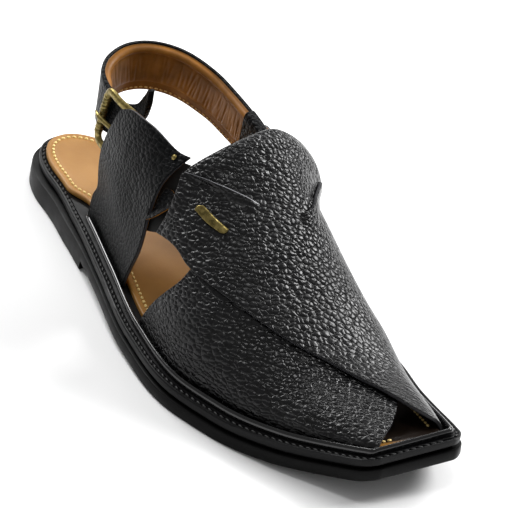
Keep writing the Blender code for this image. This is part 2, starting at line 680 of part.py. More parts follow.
def stud(name, finish, station, girth, offset, diameter, height):
    """A low domed stud standing on the last's surface at an offset."""
    normal = last_normal(np.array(station), np.array(girth))
    centre = last_point(np.array(station), np.array(girth), np.array(offset))
    side = np.cross(normal, (0, 0, 1.0))
    side /= np.linalg.norm(side)
    other = np.cross(normal, side)
    turns = np.linspace(0, 2 * pi, 14, endpoint=False)
    loops = []
    for share, rise in ((1.0, 0.0), (1.0, 0.35), (0.82, 0.75), (0.4, 1.0)):
        radius = 0.5 * diameter * share
        loops.append([
            centre + normal * rise * height + radius * (np.cos(a) * side + np.sin(a) * other) for a in turns
        ])
    bm = bmesh.new()
    loft(bm, loops)
    return keep(name, bm, finish)


BRASS_BAR = {
    "low": ((0.514, -0.468), (0.540, -0.440), (0.566, -0.392)),
    "high": ((0.520, -0.424), (0.543, -0.395), (0.570, -0.350)),
    "rear": ((0.514, -0.468), (0.514, -0.446), (0.520, -0.424)),
    "front": ((0.566, -0.392), (0.571, -0.371), (0.570, -0.350)),
}
QUARTER_RIVET = (0.426, -0.405)
INNER_TAB = {
    "low": ((0.452, -0.680), (0.470, -0.650), (0.492, -0.610)),
    "high": ((0.452, -0.560), (0.470, -0.540), (0.492, -0.520)),
    "rear": ((0.452, -0.680), (0.446, -0.620), (0.452, -0.560)),
    "front": ((0.492, -0.610), (0.496, -0.570), (0.492, -0.520)),
}


def fittings(brass, black):
    """Brass bar on the vamp, rivet of the lateral quarter and the small tab under the wing."""
    over_vamp = 2 * LEATHER + GAP
    grid = patch(**BRASS_BAR, rows=12, columns=6)
    panel_wall("vamp_bar", brass, grid, over_vamp, over_vamp + PLATE_THICKNESS)
    station, girth = QUARTER_RIVET
    over_quarter = CORNER_LIFT + LEATHER + GAP
    stud("rivet", brass, station, girth, over_quarter, RIVET_DIAMETER, RIVET_HEIGHT)
    grid = patch(**INNER_TAB, rows=8, columns=8)
    panel_wall("inner_tab", black, grid, -TAB_DROP, LEATHER - LAP - 3 * GAP)


def lean_buckle():
    """Turns the buckle with its chape and prong about the middle of the ribbed bar."""
    pivot = Matrix.Translation((BUCKLE_X, 0, BUCKLE_Z))
    turn = pivot @ Matrix.Rotation(BUCKLE_LEAN, 4, "Y") @ pivot.inverted()
    for name in ("buckle_frame", "buckle_prong", "prong_eye_form", "chape", "chape_bore_form", "chape_slot_form"):
        bpy.data.objects[name].data.transform(turn)


def centre():
    """Moves every piece together, so that the origin is under the middle of the shoe."""
    shapes = list(bpy.data.objects)
    corners = [vertex.co for shape in shapes if not shape.hide_render for vertex in shape.data.vertices]
    low = Vector([min(corner[axis] for corner in corners) for axis in range(3)])
    high = Vector([max(corner[axis] for corner in corners) for axis in range(3)])
    middle = (low + high) / 2
    move = Matrix.Translation((-middle.x, -middle.y, -low.z))
    for shape in shapes:
        shape.data.transform(move)


def main():
    for shape in list(bpy.data.objects):
        bpy.data.objects.remove(shape, do_unlink=True)
    rubber = material("black moulded rubber", (0.012, 0.012, 0.013), 0.45)
    edge = material("black dyed welt leather", (0.010, 0.010, 0.011), 0.4)
    bead = material("glossy black rand", (0.006, 0.006, 0.007), 0.2)
    tan = material("tan glazed leather", (0.56, 0.29, 0.10), 0.35)
    black = material("black pebbled leather", (0.013, 0.013, 0.015), 0.42)
    outsole(rubber)
    midsole(edge)
    welt(edge)
    insole(tan)
    rand(bead)
    upper(black)
    quarter("quarter_lateral", black, LATERAL_QUARTER, CORNER_LIFT, BUCKLE_COVER, (0.35, 0.95))
    quarter("quarter_medial", black, MEDIAL_QUARTER, CORNER_LIFT, STRAP_COVER, (0.20, 0.75))
    heel_strap(black)
    brass = material("antique brass", (0.30, 0.23, 0.10), 0.35, 1.0)
    buckle_frame(brass)
    buckle_prong(brass)
    chape(black)
    lean_buckle()
    fittings(brass, black)
    centre()


main()
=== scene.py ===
"""Looks of a right-foot peshawari chappal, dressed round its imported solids.

+X points to the toe, +Y to the medial side, +Z up, in metres. The finer pieces follow the solids' welt
outline and their last, which the photograph corrects by a few millimetres, so each one lies on its
solid or close to it.
"""
from math import pi, radians
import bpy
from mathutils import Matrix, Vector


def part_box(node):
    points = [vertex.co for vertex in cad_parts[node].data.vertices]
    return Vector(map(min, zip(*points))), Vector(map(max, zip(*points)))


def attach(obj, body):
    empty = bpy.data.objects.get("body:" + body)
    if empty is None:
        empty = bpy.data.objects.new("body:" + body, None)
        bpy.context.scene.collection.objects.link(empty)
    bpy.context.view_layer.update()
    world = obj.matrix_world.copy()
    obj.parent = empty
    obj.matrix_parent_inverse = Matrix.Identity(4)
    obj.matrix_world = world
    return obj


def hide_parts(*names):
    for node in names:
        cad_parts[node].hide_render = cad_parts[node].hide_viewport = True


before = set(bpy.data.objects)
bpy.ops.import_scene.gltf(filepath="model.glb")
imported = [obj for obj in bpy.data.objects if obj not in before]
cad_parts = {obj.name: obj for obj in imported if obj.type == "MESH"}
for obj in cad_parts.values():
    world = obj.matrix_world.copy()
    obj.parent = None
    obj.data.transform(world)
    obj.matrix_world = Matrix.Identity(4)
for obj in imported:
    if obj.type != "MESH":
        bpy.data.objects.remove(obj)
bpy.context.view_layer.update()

from types import SimpleNamespace

import bmesh
import bpy
import numpy as np
from mathutils import Matrix, Vector

MM = 0.001

# Camera of the photograph: its angle to the shoe, its roll and its lens
CAMERA_PLACE = (0.91597, -0.81924, 0.89725)
CAMERA_AZIMUTH = radians(47.49)
CAMERA_ELEVATION = radians(34.80)
CAMERA_ROLL = radians(9.79)
CAMERA_LENS = 235.351

# Sole
WELT_LENGTH = 278 * MM
BALL_WIDTH = 106 * MM
TOE_SLANT = 6.4 * MM
TOE_CORNER = 6 * MM
HEEL_ROUND = 40 * MM
HEEL_STACK = 16.6 * MM
FORE_STACK = 11.4 * MM
TOE_SPRING = 13.5 * MM
WELT_THICKNESS = 3.9 * MM
GROOVE_DEPTH = 1.5 * MM
OUTSOLE_THICKNESS = 6 * MM
OUTSOLE_FLARE = 1.5 * MM
HEEL_FLARE = 3.4 * MM
HEEL_BREAST = 78 * MM
INSOLE_THICKNESS = 2.6 * MM
HEEL_MARGIN = 3.0 * MM
RAND_WIDTH = 2.7 * MM
RAND_HEIGHT = 3.3 * MM
RAND_MARGIN = 4 * MM
RAND_START = 62 * MM
FRONT_COLUMNS = 8           # mesh columns across the square toe
PAINTED_SHADE_START = (0.055, 0.085)    # x over which painted shade darkens the insole under the straps
PAINTED_SHADE_END = (0.1270, 0.1300)    # slanted run, x less half of y, over which the painted shade clears again at the toe

# Upper
INSTEP_HEIGHT = 98 * MM
LEATHER = 2 * MM
LAP = 0.05 * MM             # air between leathers that lie on each other
GAP = 0.3 * MM
FEATHER = 9 * MM
FEATHER_ROOM = 1 * MM
TOE_LIFT = 0.8 * MM         # medial strap over the lateral one at the toe
VAMP_DENT = 0.5 * MM        # soft dent along the lateral strap
WING_RISE = 1.65 * MM       # rise of the medial strap's wings over the saddle
WING_CORNER = 1.3 * MM      # further rise towards the lateral wing's corner
WING_RUN = 9 * MM
SEAM_DIP = 1.3 * MM         # how far the strap sinks into the saddle between its wings
SEAM_RUN = 12 * MM
SADDLE_EDGE = 1.7 * MM      # thickness of the saddle's covered edges
TOP_ROLL = 5.4 * MM         # padded roll along the saddle's top
TOP_ROLL_RUN = 18 * MM
TOP_ROLL_FADE = (5 * MM, 15 * MM)
FLANK_SINK = 0.6 * MM
FLANK_LEATHER = 1.4 * MM
TAB_REST = 0.9 * MM
TAB_CURL = 2.6 * MM
TAB_CURL_RUN = 6 * MM
TAB_LEATHER = 1.3 * MM
CORNER_LIFT = 3.2 * MM
BUCKLE_COVER = 3.2 * MM
STRAP_COVER = 10.6 * MM
SLIT_HIGHLIGHT = (0.08 * MM, 0.75 * MM)   # pale band along the lateral slit, a painted highlight seen as a thin bright line
CALM_START = 45 * MM        # x over which the medial strap's grain grows shallower towards the toe
CALM_END = 105 * MM

# Heel strap, buckle and fittings
STRAP_WIDTH = 26 * MM
OUTER_LEATHER = 1.5 * MM    # black outer layer of the heel strap
LINING_PAD = 3.0 * MM       # padded tan lining inside it
LINING_END = 122 * MM       # run of the heel strap that is lined and padded
FLANGE = 4.6 * MM           # flat stitched hem under the padding
ROLL = 4.4 * MM             # height of the lining's rolled top
ROLL_DEPTH = 2.9 * MM
WRAP = 13 * MM              # black leather over the sewn medial end
WRAP_DEPTH = 3.2 * MM
STRAP_STEPS = 460           # mesh rows along the strap
BAR_DIAMETER = 3.4 * MM
BUCKLE_HEIGHT = 30 * MM
BUCKLE_LENGTH = 21 * MM
BUCKLE_ARCH = 1.6 * MM
FAR_BAR_DROP = 2.2 * MM
BUCKLE_LEAN = radians(10)
STRAP_THICKNESS = 3.6 * MM
CHAPE_LEATHER = 1.2 * MM
CHAPE_WIDTH = 18 * MM
CHAPE_LENGTH = 15 * MM
PRONG_DIAMETER = 2.4 * MM
RIVET_DIAMETER = 2.6 * MM
PLATE_THICKNESS = 1.2 * MM

# Thread
WELT_PITCH = 3.3 * MM
WELT_SEAM_INSET = 2.1 * MM
INSOLE_PITCH = 2.9 * MM
INSOLE_SEAM_INSET = 3.4 * MM    # inside the insole's own edge
INSOLE_SEAM_END = 0.958     # station where the insole's stitches stop, short of the toe
STRAP_PITCH = 2.4 * MM
WELT_THREAD = 1.1 * MM
INSOLE_THREAD = 1.5 * MM
STRAP_THREAD = 0.8 * MM

# Lining folds of the heel strap, each a range that a draw is taken from
FOLD_WIDTHS = (0.4 * MM, 0.9 * MM)
FOLD_LEANS = (-4 * MM, 2 * MM)
FOLD_REACHES = (0.12, 0.34)     # shares of the strap's height
FOLD_MIDDLES = (-0.22, 0.16)
FOLD_DEPTHS = (0.1 * MM, 0.45 * MM)
FOLD_GAPS = (0.8 * MM, 2.6 * MM)

# Light: an even surround and soft boxes, each with its place and size in metres and its power in watts
SURROUND = 0.34
LIGHT_TARGET = (0, 0, 0.03)
LIGHTS = (
    ("right box", (0.20, 0.88, 0.75), (0.6, 0.4), 16),
    ("left box", (-0.85, -0.05, 0.70), (0.5, 0.4), 9),
    ("rim strip", (-0.60, 0.58, 0.60), (0.9, 0.12), 3),
    ("top box", (0.10, -0.05, 1.10), (0.25, 0.25), 2.5),
)

# Welt outline: station as a share of the welt length, half widths as shares of the ball width
OUTLINE_COLUMNS = ("station", "lateral", "medial")
OUTLINE = (
    (0.000, 0.208, 0.217),
    (0.103, 0.211, 0.238),
    (0.216, 0.284, 0.293),
    (0.360, 0.404, 0.305),
    (0.504, 0.522, 0.373),
    (0.630, 0.570, 0.430),
    (0.737, 0.522, 0.434),
    (0.845, 0.417, 0.362),
    (0.942, 0.283, 0.286),
    (1.000, 0.207, 0.222),
)

# The last: crown height as a share of the instep height, crown shift and medial fullness as shares
# of the ball width
LAST_COLUMNS = ("station", "crown", "shift", "fullness")
LAST = (
    (0.180, 1.530, 0.019, 0.000),
    (0.288, 1.388, 0.028, 0.000),
    (0.360, 1.204, 0.047, 0.030),
    (0.432, 1.000, 0.085, 0.100),
    (0.504, 0.925, 0.130, 0.095),
    (0.576, 0.770, 0.098, 0.000),
    (0.647, 0.618, 0.055, 0.000),
    (0.719, 0.466, 0.040, 0.000),
    (0.791, 0.350, 0.036, 0.000),
    (0.863, 0.298, 0.018, 0.000),
    (0.935, 0.288, 0.000, 0.000),
    (1.000, 0.278, 0.000, 0.000),
)

# Panel edges as (station, girth) pairs, girth from -1 at the lateral feather edge over 0 at the crown
# to 1 at the medial one
UNDER_STRAP = {
    "low": ((0.500, -1.0), (0.590, -1.0), (0.700, -1.0), (0.820, -1.0), (0.920, -1.0), (0.974, -1.0)),
    "high": ((0.566, -0.47), (0.640, -0.38), (0.720, -0.26), (0.790, -0.12), (0.850, 0.06), (0.900, 0.19)),
    "rear": ((0.500, -1.0), (0.543, -0.80), (0.563, -0.683), (0.568, -0.592), (0.566, -0.47)),
    "front": ((0.974, -1.0), (0.970, -0.62), (0.950, -0.17), (0.928, 0.04), (0.900, 0.19)),
}
OVER_STRAP = {
    "low": ((0.478, -0.668), (0.529, -0.617), (0.573, -0.584), (0.652, -0.464), (0.732, -0.322),
            (0.781, -0.205), (0.831, -0.088), (0.881, 0.054), (0.911, 0.155), (0.940, 0.272), (0.959, 0.44),
            (0.967, 0.70)),
    "high": ((0.480, 1.0), (0.600, 1.0), (0.720, 1.0), (0.860, 1.0), (0.970, 1.0)),
    "rear": ((0.478, -0.668), (0.477, -0.560), (0.470, -0.480), (0.4580, -0.426), (0.4605, -0.418),
             (0.508, -0.339), (0.553, -0.207), (0.583, -0.080), (0.593, 0.046), (0.586, 0.160),
             (0.568, 0.264), (0.545, 0.370), (0.523, 0.456), (0.505, 0.600), (0.492, 0.800), (0.480, 1.0)),
    "front": ((0.967, 0.70), (0.970, 0.86), (0.970, 1.0)),
}
SADDLE = {
    "low": ((0.452, -0.428), (0.500, -0.430), (0.560, -0.360), (0.640, -0.220)),
    "high": ((0.505, 0.580), (0.540, 0.520), (0.590, 0.380), (0.655, 0.220)),
    "rear": ((0.452, -0.428), (0.466, -0.260), (0.472, -0.120), (0.473, -0.020), (0.474, 0.140),
             (0.482, 0.300), (0.492, 0.440), (0.505, 0.580)),
    "front": ((0.640, -0.220), (0.668, 0.000), (0.655, 0.220)),
}
# The saddle's dark flank in the gap, its black partly standing in for the shade there
FLANK = {
    "low": ((0.432, -0.745), (0.456, -0.705), (0.490, -0.640)),
    "high": ((0.425, -0.430), (0.460, -0.370), (0.510, -0.330)),
    "rear": ((0.432, -0.745), (0.424, -0.600), (0.425, -0.430)),
    "front": ((0.490, -0.640), (0.515, -0.500), (0.510, -0.330)),
}
LATERAL_QUARTER = {
    "low": ((0.222, -1.0), (0.300, -1.0), (0.360, -1.0), (0.411, -1.0)),
    "high": ((0.288, -0.625), (0.314, -0.572), (0.342, -0.527), (0.392, -0.448), (0.446, -0.363)),
    "rear": ((0.222, -1.0), (0.230, -0.950), (0.250, -0.905), (0.252, -0.850), (0.260, -0.765),
             (0.288, -0.625)),
    "front": ((0.411, -1.0), (0.441, -0.820), (0.439, -0.650), (0.436, -0.530), (0.446, -0.363)),
}
MEDIAL_QUARTER = {
    "low": ((0.270, 1.0), (0.330, 1.0), (0.390, 1.0), (0.436, 1.0)),
    "high": ((0.384, 0.600), (0.404, 0.550), (0.424, 0.520), (0.450, 0.510)),
    "rear": ((0.270, 1.0), (0.300, 0.900), (0.330, 0.800), (0.356, 0.700), (0.384, 0.600)),
    "front": ((0.436, 1.0), (0.452, 0.840), (0.450, 0.700), (0.446, 0.600), (0.450, 0.510)),
}
BRASS_BAR = {
    "low": ((0.514, -0.468), (0.540, -0.440), (0.566, -0.392)),
    "high": ((0.520, -0.424), (0.543, -0.395), (0.570, -0.350)),
    "rear": ((0.514, -0.468), (0.514, -0.446), (0.520, -0.424)),
    "front": ((0.566, -0.392), (0.571, -0.371), (0.570, -0.350)),
}
INNER_TAB = {
    "low": ((0.444, -0.680), (0.458, -0.640), (0.474, -0.575)),
    "high": ((0.440, -0.540), (0.452, -0.520), (0.468, -0.515)),
    "rear": ((0.444, -0.680), (0.438, -0.610), (0.440, -0.540)),
    "front": ((0.474, -0.575), (0.475, -0.545), (0.468, -0.515)),
}
QUARTER_RIVET = (0.424, -0.428)

# Middle line of the heel strap from its sewn medial end round the heel to the free tail: x as a share
# of the welt length, y of the ball width, z of the instep height, with a share of the strap's width
STRAP_COLUMNS = ("x", "y", "z", "width")
STRAP = (
    (0.415, 0.276, 0.725, 0.80),
    (0.374, 0.284, 0.730, 0.96),
    (0.316, 0.298, 0.740, 1.00),
    (0.260, 0.290, 0.765, 1.00),
    (0.203, 0.232, 0.800, 1.00),
    (0.164, 0.142, 0.812, 1.00),
    (0.146, 0.040, 0.800, 1.00),
    (0.152, -0.065, 0.775, 1.00),
    (0.176, -0.140, 0.755, 1.00),
    (0.208, -0.172, 0.748, 0.92),
    (0.235, -0.168, 0.752, 0.80),
    (0.262, -0.145, 0.780, 0.48),
    (0.285, -0.138, 0.845, 0.30),
    (0.299, -0.142, 0.925, 0.20),
    (0.307, -0.147, 1.000, 0.05),
)

# The back of the welt and the shoe's own middle line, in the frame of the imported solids
WIDEST_LATERAL = max(row[1] for row in OUTLINE) * BALL_WIDTH
ORIGIN = np.array([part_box("welt")[0].x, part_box("welt")[0].y + WIDEST_LATERAL, 0.0])


def set_camera():
    """The camera looks along the photograph's line of sight and is rolled about it."""
    azimuth, elevation, roll = CAMERA_AZIMUTH, CAMERA_ELEVATION, CAMERA_ROLL
    level = np.cos(elevation)
    back = Vector((np.sin(azimuth) * level, -np.cos(azimuth) * level, np.sin(elevation)))
    right = Vector((0, 0, 1)).cross(back).normalized()
    up = back.cross(right)
    turned_right = right * np.cos(roll) + up * np.sin(roll)
    turned_up = up * np.cos(roll) - right * np.sin(roll)
    camera = bpy.data.objects.new("camera", bpy.data.cameras.new("camera"))
    basis = Matrix((turned_right, turned_up, back)).transposed().to_4x4()
    camera.matrix_world = Matrix.Translation(CAMERA_PLACE) @ basis
    camera.data.sensor_width = 36
    camera.data.lens = CAMERA_LENS
    camera.data.clip_start = 0.05
    bpy.context.scene.collection.objects.link(camera)
    bpy.context.scene.camera = camera


# Tables and curves

def column(table, columns, name):
    """One named column of a table."""
    return np.array([row[columns.index(name)] for row in table])


def read(table, columns, name, station):
    """Smooth value of a column at a station, without overshoot between rows."""
    xs = column(table, columns, "station")
    ys = column(table, columns, name)
    steps = np.diff(xs)
    slopes = np.diff(ys) / steps
    ends = np.concatenate([slopes[:1], slopes, slopes[-1:]])
    both = ends[:-1] * ends[1:]
    total = ends[:-1] + ends[1:]
    tangents = np.where(both > 0, 2 * both / np.where(total == 0, 1, total), 0)
    station = np.clip(station, xs[0], xs[-1])
    i = np.clip(np.searchsorted(xs, station) - 1, 0, len(xs) - 2)
    t = (station - xs[i]) / steps[i]
    rise = steps[i]
    return (
        (1 + 2 * t) * (1 - t) ** 2 * ys[i]
        + t * (1 - t) ** 2 * rise * tangents[i]
        + t * t * (3 - 2 * t) * ys[i + 1]
        + t * t * (t - 1) * rise * tangents[i + 1]
    )


def ease(x, start, end):
    """0 before start, 1 after end, smooth between."""
    t = np.clip((x - start) / (end - start), 0, 1)
    return t * t * (3 - 2 * t)


def spline(before, here, there, beyond, t):
    """A point between here and there on a smooth curve through four points."""
    return 0.5 * (
        2 * here + (there - before) * t
        + (2 * before - 5 * here + 4 * there - beyond) * t ** 2
        + (3 * here - before - 3 * there + beyond) * t ** 3
    )


def through(knots, lengths, share):
    """Places on a smooth curve through knots, at distances along it."""
    i = np.clip(np.searchsorted(lengths, share) - 1, 0, len(knots) - 2)
    t = ((share - lengths[i]) / (lengths[i + 1] - lengths[i]))[:, None]
    padded = np.vstack([2 * knots[0] - knots[1], knots, 2 * knots[-1] - knots[-2]])
    return spline(padded[i], padded[i + 1], padded[i + 2], padded[i + 3], t)


def follow(points, share):
    """A place on a smooth curve through a panel edge's points, by its share of the length."""
    knots = np.array(points, float)
    lengths = np.concatenate([[0], np.cumsum(np.hypot(np.diff(knots[:, 0]) * 2.6, np.diff(knots[:, 1])))])
    return through(knots, lengths, np.asarray(share) * lengths[-1])


def resample(path, pitch):
    """Evenly spaced points on a line of points, with the direction at each."""
    path = np.asarray(path, float)
    lengths = np.concatenate([[0], np.cumsum(np.linalg.norm(np.diff(path, axis=0), axis=1))])
    count = max(int(round(lengths[-1] / pitch)), 2)
    places = np.linspace(0, lengths[-1], count + 1)
    points = np.stack([np.interp(places, lengths, path[:, axis]) for axis in range(3)], axis=-1)
    ahead = np.gradient(points, axis=0)
    return points, ahead / np.linalg.norm(ahead, axis=1, keepdims=True)


# Welt outline and last

def welt_top(x):
    """Height of the welt's top face: raised heel, flat ball, toe spring."""
    heel = 0.20 * WELT_LENGTH
    ball_start = 0.67 * WELT_LENGTH
    ball_end = 0.74 * WELT_LENGTH
    fall = (HEEL_STACK - FORE_STACK) * ease(x, heel, ball_start)
    toe = np.clip((x - ball_end) / (WELT_LENGTH - ball_end), 0, 1.2)
    return HEEL_STACK - fall + TOE_SPRING * toe ** 2


def welt_half(x, side, inset):
    """Half width of the welt outline before its ends are rounded, moved in square to the edge."""
    step = 1 * MM
    width, beyond = (
        read(OUTLINE, OUTLINE_COLUMNS, side, place / WELT_LENGTH) * BALL_WIDTH for place in (x, x + step)
    )
    return width - inset * np.hypot(1, (beyond - width) / step)


def outline(inset, side_inset=None, toe_inset=None, start=None):
    """Lateral and medial edge points from heel to toe, at an inset from the welt's edge. The sides
    and the toe may have their own insets, and a start cuts the heel end off."""
    toe_inset = inset if toe_inset is None else toe_inset
    toe_end = WELT_LENGTH - toe_inset
    radius = max(TOE_CORNER - toe_inset, 1.5 * MM)
    heel_turn = np.linspace(0, pi / 2, 40)
    heel = inset + (HEEL_ROUND - inset) * (1 - np.cos(heel_turn))
    if start is not None:
        heel = np.array([start])
    breast = HEEL_BREAST + 0.4 * MM * np.array([-3, -1, 1, 3])
    sides = np.linspace(heel[-1], toe_end - radius, 170)
    middle = np.sort(np.concatenate([sides[1:-1], breast]))
    corner = toe_end - radius * (1 - np.sin(np.linspace(0, pi / 2, 12)))
    x = np.concatenate([heel, middle, corner])
    move = inset if side_inset is None else side_inset(x)
    back = np.clip((x - inset) / (HEEL_ROUND - inset), 0, 1)
    ahead = np.clip(radius - (toe_end - x), 0, radius)
    trim = radius - np.sqrt(np.maximum(radius ** 2 - ahead ** 2, 0))
    slant = TOE_SLANT * (x / WELT_LENGTH) ** 3
    edges = []
    for side, turn in (("lateral", -1), ("medial", 1)):
        width = welt_half(x, side, move) * (1 - (1 - back) ** 2.2) ** (1 / 2.2) - trim
        edges.append(np.stack([x + turn * slant / 2, turn * width], axis=-1))
    return edges


def round_path(inset, front_columns, **insets):
    """The outline as one open path: lateral side to the toe, across it, and back on the medial side."""
    low, high = outline(inset, **insets)
    across = np.linspace(0, 1, front_columns + 1)[1:-1, None]
    front = low[-1] * (1 - across) + high[-1] * across
    return np.concatenate([low, front, high[::-1]])


def last_point(station, girth, offset=0.0):
    """A point of the last's surface, or off it by an offset, still in the shoe's own place."""
    station = np.asarray(station, float)
    girth = np.asarray(girth, float)
    x = station * WELT_LENGTH
    shift = read(LAST, LAST_COLUMNS, "shift", station) * BALL_WIDTH
    crown = read(LAST, LAST_COLUMNS, "crown", station) * INSTEP_HEIGHT
    full = read(LAST, LAST_COLUMNS, "fullness", station) * BALL_WIDTH
    lateral = welt_half(x, "lateral", FEATHER)
    medial = welt_half(x, "medial", FEATHER)
    base = welt_top(x) + GAP
    angle = np.abs(girth) * pi / 2
    side = np.sin(angle)
    rise = np.maximum(np.cos(angle), 0)
    y_lateral = shift - (lateral + shift) * side
    y_medial = shift + (medial - shift) * side ** 0.9 + full * (2 * side * rise) ** 2
    z = base + (crown - base) * rise ** 0.92
    slant = TOE_SLANT * (x / WELT_LENGTH) ** 3
    y = np.where(girth < 0, y_lateral, y_medial)
    x = x + slant * y / (0.5 * BALL_WIDTH)
    point = np.stack([x + 0 * y, y, z + 0 * y], axis=-1)
    if np.any(np.asarray(offset) != 0):
        point = point + last_normal(station, girth) * np.asarray(offset)[..., None]
    point[..., 2] = np.maximum(point[..., 2], welt_top(point[..., 0]) + GAP)
    return point


def last_normal(station, girth):
    """Outward unit normal of the last, level at the feather edge."""
    step = 0.004
    girth = np.clip(girth, -1 + 2 * step, 1 - 2 * step)
    along = last_point(station + step, girth) - last_point(station - step, girth)
    around = last_point(station, girth + step) - last_point(station, girth - step)
    normal = np.cross(around, along)
    return -normal / np.linalg.norm(normal, axis=-1, keepdims=True)


def patch(low, high, rear, front, u, v):
    """Stations and girths over a four-sided panel: u from rear to front, v from the low edge to the
    high one."""
    low = follow(low, u)[:, None]
    high = follow(high, u)[:, None]
    rear = follow(rear, v)[None]
    front = follow(front, v)[None]
    u = u[:, None, None]
    v = v[None, :, None]
    corners = (
        (1 - u) * (1 - v) * low[:1] + (1 - u) * v * high[:1]
        + u * (1 - v) * low[-1:] + u * v * high[-1:]
    )
    return (1 - v) * low + v * high + (1 - u) * rear + u * front - corners


# Making meshes

def lay_grid(bm, places):
    """Adds a grid whose vertices lie at an array of places, and gives its faces with the column of
    each."""
    rows, columns = places.shape[:2]
    made = bmesh.ops.create_grid(bm, x_segments=rows - 1, y_segments=columns - 1, size=1)
    verts = made["verts"]
    xs = np.array([vert.co.x for vert in verts])
    ys = np.array([vert.co.y for vert in verts])
    i = np.round((xs - xs.min()) / np.ptp(xs) * (rows - 1)).astype(int)
    j = np.round((ys - ys.min()) / np.ptp(ys) * (columns - 1)).astype(int)
    spot = {}
    for vert, row, col in zip(verts, i, j):
        spot[vert] = (row, col)
        vert.co = places[row, col] + ORIGIN
    faces = {face for vert in verts for face in vert.link_faces}
    return [(face, *np.mean([spot[vert] for vert in face.verts], axis=0)) for face in faces]


def paint(faces, index):
    """Gives laid faces one of their piece's materials."""
    for entry in faces:
        entry[0].material_index = index


def finish_piece(name, bm, finishes, nodes=(), merge=0.00001, sharp=radians(40)):
    """Makes the bmesh a smooth shaded piece that rides on the shoe."""
    bmesh.ops.remove_doubles(bm, verts=bm.verts, dist=merge)
    bmesh.ops.dissolve_degenerate(bm, edges=bm.edges, dist=merge)
    bmesh.ops.recalc_face_normals(bm, faces=bm.faces)
    if bm.calc_volume(signed=True) < 0:
        bmesh.ops.reverse_faces(bm, faces=bm.faces)
    mesh = bpy.data.meshes.new(name)
    bm.to_mesh(mesh)
    bm.free()
    mesh.shade_smooth()
    mesh.set_sharp_from_angle(angle=sharp)
    for finish in finishes:
        mesh.materials.append(finish)
    piece = bpy.data.objects.new(name, mesh)
    bpy.context.scene.collection.objects.link(piece)
    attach(piece, "root")
    for node in nodes:
        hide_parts(node)
    return piece


def spread(count):
    """Shares from 0 to 1, closer together at both ends, where the edges are rounded."""
    t = np.linspace(0, 1, count)
    return t - 0.13 * np.sin(2 * pi * t)


def distances(points, axis):
    """Distance of each grid point from the first and the last one along an axis."""
    steps = np.linalg.norm(np.diff(points, axis=axis), axis=-1)
    run = np.cumsum(steps, axis=axis)
    start = np.zeros_like(np.take(run, [0], axis=axis))
    run = np.concatenate([start, run], axis=axis)
    return run, np.take(run, [-1], axis=axis) - run


def wall(name, edges, rows, columns, shape, finishes,
         nodes=(), rounding=0.5 * MM, cut=0.6, painted_highlight=None):
    """A leather wall over a panel of the last. Its edges are rounded over a distance, down to a cut
    face that keeps a share of the thickness. The shape gives the offsets of its two faces from the
    stations, the girths and the distances from the four edges, and the last argument says from the same
    where the outer face has the fourth finish, a pale band that paints a highlight. The first three
    are for the outer face, the inner one and the cut edges."""
    grid = patch(**edges, u=spread(rows), v=spread(columns))
    station, girth = grid[..., 0], grid[..., 1]
    base = last_point(station, girth)
    rear, front = distances(base, 0)
    low, high = distances(base, 1)
    at = SimpleNamespace(station=station, girth=girth, rear=rear, front=front, low=low, high=high)
    inner, outer = shape(at)
    middle = 0.5 * (inner + outer)
    half = 0.5 * (outer - inner)
    near = np.clip(np.minimum(np.minimum(rear, front), np.minimum(low, high)) / rounding, 0, 1)
    full = cut + (1 - cut) * np.sqrt(1 - (1 - near) ** 2)
    bm = bmesh.new()
    inside = last_point(station, girth, middle - half * full)
    outside = last_point(station, girth, middle + half * full)
    top = lay_grid(bm, outside)
    if painted_highlight:
        # Outer faces in the pale band, a painted highlight
        highlight_band = painted_highlight(at)
        paint([entry for entry in top if highlight_band[int(entry[1]), int(entry[2])]], 3)
    paint(lay_grid(bm, inside), min(1, len(finishes) - 1))
    for rim in ((0, slice(None)), (-1, slice(None)), (slice(None), 0), (slice(None), -1)):
        paint(lay_grid(bm, np.stack([inside[rim], outside[rim]])), min(2, len(finishes) - 1))
    return finish_piece(name, bm, finishes, nodes, sharp=radians(70))


def slab(name, profile, finish, nodes=()):
    """A sole layer: its wall follows the outline through a profile from its bottom edge to its top
    edge, each row an inset with its own rules and a height, and flat faces close it."""
    lines = []
    for insets, height in profile:
        path = round_path(front_columns=FRONT_COLUMNS, **insets)
        lines.append(np.column_stack([path, height(path[:, 0])]))
    bm = bmesh.new()
    lay_grid(bm, np.stack(lines, axis=1))
    for insets, height in (profile[0], profile[-1]):
        low, high = outline(**insets)
        share = np.linspace(0, 1, FRONT_COLUMNS + 1)[None, :, None]
        places = low[:, None] * (1 - share) + high[:, None] * share
        lay_grid(bm, np.concatenate([places, height(places[..., 0])[..., None]], axis=-1))
    return finish_piece(name, bm, [finish], nodes)


def sweep(bm, rings):
    """A closed skin through rings of points, its two ends closed by a face. Gives the faces between
    the rings with the place of each along the path and round the ring."""
    places = np.concatenate([rings, rings[:, :1]], axis=1)
    faces = lay_grid(bm, places)
    bmesh.ops.remove_doubles(bm, verts=bm.verts, dist=0.000001)
    bmesh.ops.holes_fill(bm, edges=[edge for edge in bm.edges if edge.is_boundary], sides=0)
    return [entry for entry in faces if entry[0].is_valid]


def basis(place, ahead, up, sizes):
    """A matrix that puts a unit shape at a place, along a direction, with its half sizes."""
    ahead = Vector(ahead).normalized()
    side = Vector(up).cross(ahead).normalized()
    top = ahead.cross(side)
    turn = Matrix((ahead, side, top)).transposed().to_4x4()
    return Matrix.Translation(Vector(place) + Vector(ORIGIN)) @ turn @ Matrix.Diagonal((*sizes, 1))


def stitches(name, rows, length, width, rise, finish):
    """Thread ends standing from the leather: one short round-ended piece for each stitch."""
    bm = bmesh.new()
    for points, ahead, ups in rows:
        for place, along, up in zip(points, ahead, ups):
            matrix = basis(place, along, up, (0.5 * length, 0.5 * width, rise))
            bmesh.ops.create_uvsphere(bm, u_segments=8, v_segments=5, radius=1, matrix=matrix)
    return finish_piece(name, bm, [finish], sharp=pi)


